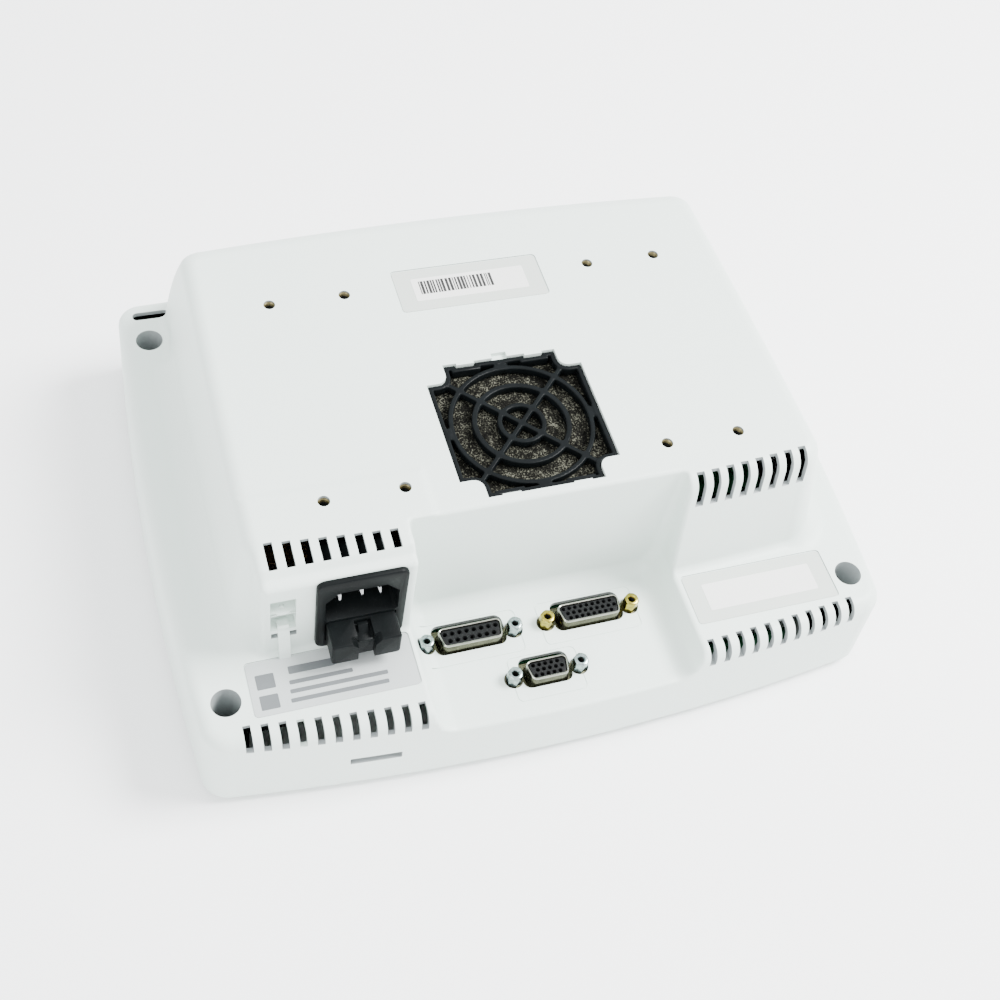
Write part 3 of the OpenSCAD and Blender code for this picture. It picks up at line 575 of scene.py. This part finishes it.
def cover_cutters():
    """Shapes cut from the rear cover, in two groups that are cut one after the other."""
    first, second = [], []
    for i in range(UPPER_SLOTS):
        x = FIRST_UPPER_X + SLOT_PITCH * i
        start = -53.4 + 0.0005 * (x * x - FIRST_UPPER_X ** 2)
        first.append(block(x - 1.6, x + 1.5, -80, start + 1.7, 74, 95))
        first.append(block(-x - 2.3, -x + 0.6, -59.4, start + 0.8, 77, 95))
    for i in range(LOWER_SLOTS):
        x = FIRST_LOWER_X + SLOT_PITCH * i
        start = -94.9 + 0.0005 * (x * x - FIRST_LOWER_X ** 2)
        for side in (-1, 1):
            first.append(block(side * x - 1.3, side * x + 1.3, -125, start, 34.4, 60))
    for x, y in SCREWS:
        first.append(rod(x, y, WELL_R, WELL_Z, 60, n=48))
        first.append(rod(x, y, 2.3, -5, 15.9))
    for x, y in INSERTS:
        first.append(rod(x, y, 2.15, 79, 95, n=24))
    first.append(prism(filter_outline(59.0, 8.0, 3.6, tabs=0.9), 70, 95))
    second.append(block(-2.6, 3.1, FAN_Y + 29.3, FAN_Y + 31.6, 84.3, 95))
    second.append(prism(rounded(0, FAN_Y, 58.4, 42.6, 0.3), 84.9, 95))
    for at, top in ((TOP_LABEL, DEPTH), (SERIAL_LABEL, FLANGE), (RATING_LABEL, FLANGE)):
        first.append(prism(rounded(*at, 58, 21, 1.6), top - LABEL_DEPTH, top + 5))
    first.append(block(INLET_X - 13.9, INLET_X + 13.9, -75, -45, 43.4, 82.0))
    for s in (-1, 1):
        first.append(prism(rounded(s * 115.8, 94.4, 13.6, 3.8, 1.7), 30, 60))
    first.append(prism(rounded(-70.5, 19.4, 18.2, 3.6, 0.4), -112, -90, "y"))
    # cord clamp: recess with a half-disc shelf, two square holes and a screw hole
    first.append(block(-99.9, -91.3, -72, -59.9, 68.0, 75.2))
    shelf = [(-99.9, -72.0), (-91.3, -72.0), (-91.3, -61.6)]
    shelf += [(CLAMP_X + 4.3 * math.cos(math.radians(a)), -61.4 + 4.0 * math.sin(math.radians(a)))
              for a in range(0, -181, -15)] + [(-99.9, -61.6)]
    first.append(prism(shelf, 66.2, 67.9999))
    first.append(block(-99.9, -91.3, -72, -60.6, 56.4, 66.1999))
    first.append(block(-99.7, -97.1, -72, -60.5, 51.6, 54.6))
    first.append(block(-93.6, -91.0, -72, -60.5, 51.6, 54.6))
    second.append(rod(CLAMP_X, -63.0, 0.95, 60, 73))
    for d in DSUBS.values():
        (cx, cy), (w, h) = d["at"], d["size"]
        first.append(prism(rounded(cx, cy + 1.4, w + 2.4, h + 4.3, 3.0), 20, FLOOR + 4))
        for s in (-1, 1):
            second.append(rod(cx + s * d["pitch"] / 2, cy, 3.5, 20, FLOOR + 4))
        # shallow groove round the connector
        half, lift = d["outline"], -0.45
        outside = rounded(cx, cy + lift, 2 * half, 17.7, 2.2)
        inside = rounded(cx, cy + lift, 2 * half - 0.6, 17.1, 1.9)
        first.append(tube(outside, inside, FLOOR - 0.22, FLOOR + 1))
    return first, second


def set_cover_normals(mesh, origin):
    """Smooth normals from the field on moulded faces. Cut faces stay flat or turn with their neighbours."""
    g = slope(outer_form, points_of(mesh), 0.2)
    g /= np.maximum(np.linalg.norm(g, axis=1), 1e-6)[:, None]
    bm = bmesh.new()
    bm.from_mesh(mesh)
    bm.faces.ensure_lookup_table()
    bm.verts.ensure_lookup_table()
    normals = [None] * len(mesh.loops)
    for face in bm.faces:
        for loop in face.loops:
            if origin[face.index] == 1:
                n = Vector(g[loop.vert.index])
                if n.dot(face.normal) < 0.5:
                    n = face.normal
            else:
                n = Vector((0, 0, 0))
                for other in loop.vert.link_faces:
                    if origin[other.index] != 1 and other.normal.dot(face.normal) > 0.85:
                        n += other.normal * other.calc_area()
                n = n.normalized() if n.length > 0 else face.normal
            normals[loop.index] = n
    bm.free()
    mesh.shade_smooth()
    mesh.normals_split_custom_set(normals)


def painted_shade_faces(mesh, origin):
    """Cut faces that get the recess material's painted shade: all but those at the labels, filter, pocket
    floor and clamp.
    """
    middle = np.array([tuple(p.center) for p in mesh.polygons]) / MM
    up = np.array([p.normal.z for p in mesh.polygons])
    x, y, z = middle.T
    label = (np.abs(z - DEPTH + LABEL_DEPTH) < 0.1) | (np.abs(z - FLANGE + LABEL_DEPTH) < 0.1)
    label &= up > 0.9
    filter_edge = (np.maximum(np.abs(x), np.abs(y - FAN_Y)) < 32) & (z > 80)
    floor_groove = (np.abs(x) < 46) & (z > FLOOR - 0.5) & (y < -55)
    tongue = (np.abs(x + 95.45) < 2.05) & (y < -63) & (z < 58)
    # the clamp's recess, but not the two square holes below it
    clamp = (np.abs(x - CLAMP_X) < 6) & (y < -54) & (z > 55.9) & (z < 77)
    return (origin == 0) & ~label & ~filter_edge & ~floor_groove & ~tongue & ~clamp


def make_rear_cover():
    """Cover with an "origin" on each face: 1 is moulded outside, 2 is inside, 0 is cut or added."""
    ob = field_object("rear_cover_moulding", outer_form, (-137, -109, 1), (137, 109, 89), 1.2, 0.17)
    mark = ob.data.attributes.new("origin", "INT", "FACE")
    mark.data.foreach_set("value", np.ones(len(ob.data.polygons), np.int32))
    void = field_object("void", hollow_form, (-136, -108, -6), (136, 108, 86), 3.0, 0.3)
    mark = void.data.attributes.new("origin", "INT", "FACE")
    mark.data.foreach_set("value", np.full(len(void.data.polygons), 2, np.int32))
    m = ob.modifiers.new("cut", "BOOLEAN")
    m.solver, m.object, m.operation = "MANIFOLD", void, "DIFFERENCE"
    settle_modifiers(ob)
    bpy.data.objects.remove(void)
    for group in cover_cutters():
        carve(ob, group)
    # tongue below the cord clamp
    tongue = prism([(-64.6, 57.5), (-66.2, 53.5), (-67.6, 46.0), (-68.2, 41.0), (-62, 41.0), (-62, 57.5)],
                   -97.4, -93.5, "x")
    carve(ob, [tongue], "UNION")
    mesh = ob.data
    origin = np.zeros(len(mesh.polygons), np.int32)
    mesh.attributes["origin"].data.foreach_get("value", origin)
    mesh.materials.clear()
    mesh.materials.append(MAT["shell"])
    mesh.materials.append(MAT["inner"])
    mesh.materials.append(MAT["recess"])
    # inside faces take the near-black inner material and the chosen cut faces the recess material: both are
    # painted shade
    looks = np.where(origin == 2, 1, np.where(painted_shade_faces(mesh, origin), 2, 0))
    mesh.polygons.foreach_set("material_index", looks)
    set_cover_normals(mesh, origin)
    piece(ob, None, replaces=["rear_cover"])


# ---------------------------------------------------------------- smaller pieces
def loft(rings, closed=False):
    """Skin over rings of 3-D points, each with as many points as the next, with flat ends unless closed."""
    n, points = len(rings[0]), [p for ring in rings for p in ring]
    count = len(rings)
    faces = [(k * n + i, k * n + (i + 1) % n, (k + 1) % count * n + (i + 1) % n, (k + 1) % count * n + i)
             for k in range(count if closed else count - 1) for i in range(n)]
    if not closed:
        faces += [tuple(range(n))[::-1], tuple(range((count - 1) * n, count * n))]
    return points, faces


def rounded_slab(outline_at, low, high, r, steps=3, bottom=0.0):
    """Plate with its upper edge rounded by r and its lower by bottom, from outline_at(inset)."""
    rings = []
    if bottom:
        for i in range(steps):
            a = math.radians(90 * i / steps)
            rings.append((bottom * (1 - math.sin(a)), low + bottom * (1 - math.cos(a))))
        rings.append((0, low + bottom))
    else:
        rings.append((0, low))
    for i in range(steps + 1):
        a = math.radians(90 * i / steps)
        rings.append((r * (1 - math.cos(a)), high - r + r * math.sin(a)))
    return loft([[(x, y, z) for x, y in outline_at(inset)] for inset, z in rings])


def threaded(cx, cy, outer_r, hole_r, low, high, depth, sides=0, n=36):
    """Post with a chamfered, threaded hole in its top. sides=6 gives it a hexagonal outside."""
    sides_r = outer_r * 0.88 if sides else outer_r

    def ring(r, z, hexed):
        out = []
        for i in range(n):
            a = 2 * math.pi * i / n
            reach = r
            if hexed:
                off = (a + math.radians(30)) % math.radians(60) - math.radians(30)
                reach = min(r, sides_r / math.cos(off))
            out.append((cx + reach * math.cos(a), cy + reach * math.sin(a), z))
        return out

    bevel = 0.35
    rings = [ring(outer_r, low, sides), ring(outer_r, high - bevel * 1.6, sides),
             ring(outer_r - bevel, high - bevel * 0.5, sides), ring(sides_r - bevel, high, sides),
             ring(hole_r + 0.3, high, False), ring(hole_r, high - 0.3, False)]
    z, turn = high - 0.3, 0
    while z > high - depth:
        z -= 0.22
        turn += 1
        rings.append(ring(hole_r + (0.16 if turn % 2 else 0.0), z, False))
    return loft(rings)


def grille_plan(x, y):
    """Distances to the filter cover's outer outline and to its bars, about the fan's axis."""
    square = np.maximum(np.abs(x), np.abs(y)) - 29.2
    bite = common(21.3 - np.abs(x), 21.3 - np.abs(y), 3.9)
    tab_side = np.where(y > 0, 1.15, 0.75)
    tab = np.maximum(np.abs(np.abs(x) - 13.05) - 3.65, 29.2 - tab_side - np.abs(y))
    outer = common(common(square, -bite, 0.7), -tab, 0.3)
    bars = np.maximum(outer, -(outer + 1.75))
    radius = np.hypot(x, y)
    for r0, half in ((25.5, 0.9), (17.0, 1.0), (8.0, 0.9)):
        bars = joined(bars, np.abs(radius - r0) - half, 1.0)
    for sign in (1, -1):
        bars = joined(bars, np.abs(x + sign * y) * 0.7071 - 0.85, 0.9)
    bridge = np.maximum(np.minimum(np.abs(x), np.abs(y)) - 2.4, 25.5 - np.maximum(np.abs(x), np.abs(y)))
    return outer, np.maximum(joined(bars, bridge, 0.8), outer)


def grille_form(x, y, z):
    outer, bars = grille_plan(x, y - FAN_Y)
    rim = np.where(outer > -1.9, 0.5, 0.0)
    return common(common(bars, z - 84.75 - rim, 0.4), 81.6 - z, 0.3)


def foam_form(x, y, z):
    outer, _ = grille_plan(x, y - FAN_Y)
    bumps = 0.0
    for k, (a, b) in enumerate(((1.9, 2.3), (2.7, -1.6), (-1.3, 3.1), (3.7, 0.8))):
        bumps = bumps + np.sin(a * x + b * y + k)
    return common(common(outer + 0.7, z - 81.2 - 0.09 * bumps, 0.5), 79.15 - z, 0.3)


def field_piece(name, field, low, high, cell, keep, material, body, replaces):
    ob = field_object(name, field, low, high, cell, keep)
    g = slope(field, points_of(ob.data), 0.08)
    g /= np.maximum(np.linalg.norm(g, axis=1), 1e-6)[:, None]
    ob.data.shade_smooth()
    ob.data.normals_split_custom_set_from_vertices([tuple(v) for v in g])
    return piece(ob, material, body, [replaces])


def made(name, parts, material, replaces, body="housing", width=0.0, segments=2, union=False):
    """Piece from closed parts, with softened edges."""
    if union:
        ob = from_parts(name, parts[:1])
        for extra in parts[1:]:
            carve(ob, [extra], "UNION")
    else:
        ob = from_parts(name, parts)
    soften(ob, width, segments)
    return piece(ob, material, body, replaces if isinstance(replaces, list) else [replaces])


def dee(cx, cy, size, inset, steps=4):
    """D outline with round corners, its wide side towards +Y."""
    w, h = size[0] / 2 - inset, size[1] / 2 - inset
    lean, r = 2 * h * math.tan(math.radians(10)), max(2.1 - inset, 0.5)
    corners = [(w, h, -10, 90), (-w, h, 90, 190), (-w + lean, -h, 190, 270), (w - lean, -h, 270, 350)]
    out = []
    for x, y, a0, a1 in corners:
        half = math.radians((a1 - a0) / 2)
        middle = math.radians((a0 + a1) / 2)
        reach = r / math.cos(half)
        mx, my = x - reach * math.cos(middle), y - reach * math.sin(middle)
        for i in range(steps + 1):
            a = math.radians(a0 + (a1 - a0) * i / steps)
            out.append((cx + mx + r * math.cos(a), cy + my + r * math.sin(a)))
    return out


def make_dsub(name, d):
    (cx, cy), (w, h) = d["at"], d["size"]
    flange_w = w + 14.4
    plate = rounded_slab(lambda i: rounded(cx, cy, flange_w - 2 * i, 12.5 - 2 * i, 1.4 - i), 26.6, 27.4,
                         0.25)
    profile = [(-0.95, 27.35), (-0.75, 27.75), (-0.35, 28.3), (-0.1, 29.0), (0, 29.8), (0, 33.1),
               (0.12, 33.45), (0.4, 33.6), (0.68, 33.48), (0.8, 33.15), (0.8, 30.0), (0.8, 26.65)]
    skirt = loft([[(x, y, z) for x, y in dee(cx, cy, (w, h), i)] for i, z in profile], closed=True)
    ob = made(name + "_shell_pressing", [plate, skirt], "shell_metal", name + "_shell")
    ob.data.materials.append(MAT["rim"])
    for face in ob.data.polygons:
        # faces above 32.9 mm, the rolled rim, take the lighter copy: painted highlight
        face.material_index = int(face.center.z > 32.9 * MM)
    block_in = rounded_slab(lambda i: dee(cx, cy, (w, h), 0.82 + i), 26.4, 32.95, 0.3)
    ob = from_parts(name + "_insulator_block", [block_in])
    holes = []
    for count, y, offset in d["rows"]:
        for i in range(count):
            x = cx + (i - (count - 1) / 2) * d["step"] + offset
            r = d["hole"]
            holes.append(lathe([(0, 29), (r * 0.8, 29), (r * 0.8, 32.4), (r * 1.2, 33.1), (0, 33.1)], x,
                               cy + y, 12))
    carve(ob, holes)
    back = block(cx - w / 2 - 1, cx + w / 2 + 1, cy - 5, cy + 5, 21.6, 26.5)
    carve(ob, [back], "UNION")
    soften(ob, 0)
    piece(ob, "insulator", replaces=[name + "_insulator"])


def jackscrew(x, y):
    head = threaded(x, y, 2.85, 1.25, 27.4, 34.3, 4.5, sides=6)
    return [head, lathe([(0, 23.8), (1.2, 23.8), (1.5, 24.2), (1.5, 27.5), (0, 27.5)], x, y, 24)]


def make_connectors():
    screws, places = {"zinc": [], "gold": []}, []
    for name, d in DSUBS.items():
        make_dsub(name, d)
        for side in (-1, 1):
            places.append((d["at"][0] + side * d["pitch"] / 2, d["at"][1]))
            screws["gold" if name == "dsub26" else "zinc"] += jackscrew(*places[-1])
    for finish, slot in (("zinc", "zinc"), ("gold", "gold_zinc")):
        ob = made(finish + "_hex_posts", screws[finish], finish, finish + "_jackscrews")
        darken_bores(ob, places, 1.6, 33.2)


def darken_bores(ob, places, r, below):
    """Gives the deep part of each threaded hole a dark colour: painted shade."""
    ob.data.materials.append(MAT["dark_bore"])
    for face in ob.data.polygons:
        x, y, z = (c / MM for c in face.center)
        if below - 6 < z < below and min(math.hypot(x - px, y - py) for px, py in places) < r:
            face.material_index = 1


def socket_outline():
    """Opening of the mains socket in (x, z), with its two upper corners cut off."""
    x, z = INLET_X, SOCKET_Z
    w, h, c = 12.5, 8.5, 4.7
    return [(x - w, z - h + 1), (x - w + 1, z - h), (x + w - 1, z - h), (x + w, z - h + 1),
            (x + w, z + h - c - 0.4), (x + w - c + 0.3, z + h), (x - w + c - 0.3, z + h),
            (x - w, z + h - c - 0.4)]


def make_inlet():
    x, mid = INLET_X, 62.6
    face, back = INLET_FACE, -65.4

    def plate(inset, y):
        return [(a, y, b) for a, b in rounded(x, mid, 31 - 2 * inset, 41 - 2 * inset, 3.2 - inset, 6)]

    flange = loft([plate(0, back), plate(0, face + 0.7), plate(0.2, face + 0.25), plate(0.65, face)])
    body = block(x - 13.4, x + 13.4, back - 0.3, -43.4, 44.0, 81.2)
    ob = from_parts("mains_socket_body", [flange])
    carve(ob, [body], "UNION")
    carve(ob, [prism(socket_outline(), face - 2, face + 16, "y"),
               block(x - 12.3, x + 12.3, face - 2, -46.5, 46.4, 58.4)])
    pins = [(i, x + PIN_PITCH * i, PIN_Z + (EARTH_RISE if i == 0 else 0)) for i in (-1, 0, 1)]
    carve(ob, [block(cx - 1.0, cx + 1.0, face + 14, -40, z - 2, z + 2) for _, cx, z in pins])
    soften(ob, 0.22, 2)
    piece(ob, "black", replaces=["mains_inlet"])
    blades = []
    for i, cx, z in pins:
        tip = face + (1.2 if i == 0 else 2.8)
        rings = []
        for y, a, b in ((tip, 0.3, 0.5), (tip + 1.1, 0.6, 1.35), (tip + 2.2, 0.95, 2.0),
                        (-34.6, 0.95, 2.0)):
            rings.append([(cx - a, y, z - b + 0.2), (cx - a + 0.2, y, z - b),
                          (cx + a - 0.2, y, z - b), (cx + a, y, z - b + 0.2),
                          (cx + a, y, z + b - 0.2), (cx + a - 0.2, y, z + b),
                          (cx - a + 0.2, y, z + b), (cx - a, y, z + b - 0.2)])
        blades.append(loft(rings))
    made("contact_blades", blades, "pins", "inlet_pins")


def make_drawer():
    x, front = INLET_X, INLET_FACE - DRAWER_OUT

    def section(inset, y):
        return [(a, y, b) for a, b in rounded(x, DRAWER_Z, 24 - 2 * inset, 11.4 - 2 * inset, 1.0, 4)]

    shell = loft([section(0.9, front), section(0.35, front + 0.2), section(0, front + 0.8),
                  section(0, INLET_FACE + 19)])
    ob = from_parts("fuse_drawer_moulding", [shell])
    cuts = [block(x - 2.9, x + 2.9, front - 1, INLET_FACE - 0.6, 55.2, 60),
            prism([(x - 2.9, 45), (x + 2.9, 45), (x + 2.9, 56), (x - 2.9, 56)], front - 1, front + 2.6,
                  "y")]
    # slanted cheeks either side of the finger notch
    for side in (-1, 1):
        cuts.append(prism([(x + side * 2.5, 58.6), (x + side * 5.6, 58.6), (x + side * 2.5, 54.6)][::side],
                          front - 1, front + 3.2, "y"))
        cuts.append(rod(x + side * 5.8, DRAWER_Z, 2.75, INLET_FACE - 2, INLET_FACE + 20, "y", 28))
    for cut in cuts:
        carve(ob, [cut])
    nub = prism([(front + 5.6, 55.0), (front + 8.6, 55.0), (front + 8.6, 57.6), (front + 7.4, 57.6)],
                x - 1.7, x + 1.7, "x")
    carve(ob, [nub], "UNION")
    soften(ob, 0.3, 2)
    piece(ob, "black", "fuse_tray", ["fuse_drawer"])


def make_inserts():
    for node, reach in (("inner_inserts", 48.25), ("outer_inserts", 76.2)):
        posts = []
        for x, y in INSERTS:
            if abs(abs(x) - reach) < 1:
                posts.append(threaded(x, y, 3.1, 1.66, 73.5, 85.35, 9))
        darken_bores(made(node + "_turned", posts, "brass", node), INSERTS, 1.9, 83.6)


def make_labels():
    """Labels in their recesses, with plain bars and squares in place of printing."""
    def patch(cx, cy, w, h, r, low, high, edge=0.05):
        return rounded_slab(lambda i: rounded(cx, cy, w - 2 * i, h - 2 * i, r - i), low, high, edge, 1)

    def bordered(name, at, low, node):
        made(name + "_border", [patch(*at, 57.2, 20.2, 1.4, low, low + 0.2)], "border", node)
        made(name + "_sticker", [patch(*at, 44.4, 11.2, 0.6, low + 0.2, low + 0.3)], "paper",
             node)

    top, low = DEPTH - LABEL_DEPTH, FLANGE - LABEL_DEPTH
    bordered("top_label", TOP_LABEL, top, "barcode_label")
    draw = np.random.default_rng(11)
    bars, x = [], -19.6
    while x < 8.5:
        w = float(draw.choice([0.4, 0.65, 1.0]))
        bars.append(block(x, x + w, 46.9, 53.4, top + 0.3, top + 0.33))
        x += w + float(draw.choice([0.3, 0.45, 0.65]))
    made("top_label_bars", bars, "ink", "barcode_label")
    bordered("lower_label", SERIAL_LABEL, low, "serial_label")
    made("rating_film", [patch(*RATING_LABEL, 57.4, 20.4, 1.5, low, low + 0.2)], "film",
         "rating_label")
    rows = [(-95.5, 16.0, -73.0, 3.0), (-96.0, 22.0, -77.6, 1.6), (-96.4, 34.0, -81.0, 1.6),
            (-96.8, 34.0, -84.4, 1.6)]
    rows += [(-107.0, 6.4, -75.4, 5.6), (-107.0, 6.4, -83.2, 5.4)]
    lines = [patch(x0 + w / 2, y, w, h, 0.4, low + 0.2, low + 0.23) for x0, w, y, h in rows]
    made("rating_film_rules", lines, "grey_ink", "rating_label")


def radial_ring(outline, angles, cy):
    """Points of a star-shaped outline in given directions from (0, cy)."""
    p = np.array(outline) - (0, cy)
    q = np.roll(p, -1, axis=0)
    out = []
    for a in angles:
        d = np.array((math.cos(a), math.sin(a)))
        e = q - p
        det = d[0] * -e[:, 1] + d[1] * e[:, 0]
        det = np.where(np.abs(det) < 1e-12, 1e-12, det)
        t = (-p[:, 0] * e[:, 1] + p[:, 1] * e[:, 0]) / det
        u = (d[0] * p[:, 1] - d[1] * p[:, 0]) / det
        good = (u >= -1e-9) & (u <= 1 + 1e-9) & (t > 0)
        reach = t[good].max()
        out.append((d[0] * reach, d[1] * reach + cy))
    return out


def shell_outline(w, low, high, bulge_x, ends, radii, steps=16):
    """Outline with bulged sides and round corners, anticlockwise from the bottom right."""
    out = []
    for sx, sy in ((1, -1), (1, 1), (-1, 1), (-1, -1)):
        k = 0 if sy < 0 else 1
        r = radii[k]
        cx = sx * (w - bulge_x - r)
        cy = low + ends[0] + r if sy < 0 else high - ends[1] - r
        a0 = {(1, -1): -90, (1, 1): 0, (-1, 1): 90, (-1, -1): 180}[(sx, sy)]
        for i in range(9):
            a = math.radians(a0 + 90 * i / 8)
            out.append((cx + r * math.cos(a), cy + r * math.sin(a)))
        for i in range(1, steps):
            t = 2 * i / steps - 1
            if (sx, sy) == (1, -1):
                start = low + ends[0] + r
                span = high - ends[1] - radii[1] - low - ends[0] - r
                out.append((w - bulge_x * t * t, start + span * (t + 1) / 2))
            elif (sx, sy) == (1, 1):
                out.append((-t * (w - bulge_x - r), high - ends[1] * t * t))
            elif (sx, sy) == (-1, 1):
                y1 = high - ends[1] - r
                out.append((-(w - bulge_x * t * t), y1 - (y1 - low - ends[0] - radii[0]) * (t + 1) / 2))
            else:
                out.append((t * (w - bulge_x - r), low + ends[0] * t * t))
    return out


def make_bezel():
    """Front frame: rounded rim, sloping frame round the picture, and a tray wall behind."""
    angles = sorted({round(2 * math.pi * i / 288, 6) for i in range(288)})

    def outer(inset, z):
        outline = shell_outline(130.7 - inset, -103.3 + inset, 103.3 - inset, 4, (7.6, 1.8),
                                (7.5 - inset, 6.5 - inset))
        return [(x, y, z) for x, y in radial_ring(outline, angles, 8)]

    def opening(grow, z):
        outline = rounded(0, 8, 214.2 + 2 * grow, 161.4 + 2 * grow, 2.5 + grow, 8)
        return [(x, y, z) for x, y in radial_ring(outline, angles, 8)]

    rings = [outer(3.2, 0.02), outer(1.6, 0.25), outer(0.7, 0.75), outer(0.15, 1.6), outer(0, 2.6),
             outer(0, 8), outer(2, 8), outer(2, 3), opening(4, 3), opening(0, 3), opening(0, 2.4),
             opening(0.5, 1.9), opening(3.4, 0.5), opening(4.4, 0.06), opening(5.2, 0.02)]
    ob = from_parts("front_frame", [loft(rings, closed=True)])
    holes = [rod(x, KEY_Y, 4.25, -1, 5, n=40) for x in KEYS.values()]
    carve(ob, holes + [rod(60, KEY_Y, 1.55, -1, 5, n=24)])
    m = ob.modifiers.new("edges", "BEVEL")
    m.width, m.segments, m.limit_method, m.angle_limit = 0.25 * MM, 2, "ANGLE", math.radians(50)
    settle_modifiers(ob)
    ob.data.shade_smooth()
    ob.data.set_sharp_from_angle(angle=math.radians(40))
    piece(ob, "shell", replaces=["front_bezel"])


def make_keys():
    """Key caps with a shallow dish for the finger."""
    profile = [(0, 1.15), (2.2, 1.1), (3.2, 0.98), (3.8, 1.1), (4.0, 1.4), (4.0, 4.2), (0, 4.2)]
    for name, x in KEYS.items():
        cap = lathe(profile, x, KEY_Y, 40)
        made(name + "_cap", [cap], "key", name + "_key", body=name)


def make_small_pieces():
    field_piece("filter_grille", grille_form, (-30, -47.4, 81), (30, 12.8, 85.9), 0.55, 0.3,
                "grille", "filter", "filter_cover")
    field_piece("filter_pad", foam_form, (-29.5, -46.9, 78.6), (29.5, 12.1, 82.3), 0.8, 0.8,
                "foam", "filter", "filter_foam")
    make_connectors()
    make_inlet()
    make_drawer()
    make_inserts()
    make_labels()
    make_bezel()
    make_keys()


# ---------------------------------------------------------------- CAD nodes that keep their shape
NODE_LOOKS = {
    "front_bezel": "shell", "window_gasket": "gasket", "screen_window": "glass", "lcd_panel": "lcd",
    "chassis_plate": "steel", "chassis_screws": "zinc", "board_standoffs": "brass", "main_board": "board",
    "connector_board": "board", "power_supply": "laminate", "power_shield": "steel",
    "backlight_inverter": "board", "display_cable": "vinyl", "mains_wires": "vinyl", "fan_frame": "black",
    "fan_rotor": "black", "fan_screws": "zinc", "filter_foam": "foam", "filter_cover": "grille",
    "inner_inserts": "brass", "outer_inserts": "brass", "dsub15_shell": "shell_metal",
    "dsub15_insulator": "insulator", "dsub26_shell": "shell_metal", "dsub26_insulator": "insulator",
    "vga_shell": "shell_metal", "vga_insulator": "insulator", "zinc_jackscrews": "zinc",
    "gold_jackscrews": "gold", "mains_inlet": "black", "inlet_pins": "pins", "fuse_drawer": "black",
    "fuses": "pins", "corner_screws": "zinc", "barcode_label": "paper", "serial_label": "paper",
    "rating_label": "film", "key_board": "board", "standby_key": "key", "dimmer_key": "key",
    "brighter_key": "key", "status_light": "light",
}


def dress_nodes():
    for name, look in NODE_LOOKS.items():
        if name in NODES:
            NODES[name].data.materials.clear()
            NODES[name].data.materials.append(MAT[look])


make_camera()
make_studio()
dress_nodes()
make_rear_cover()
make_small_pieces()
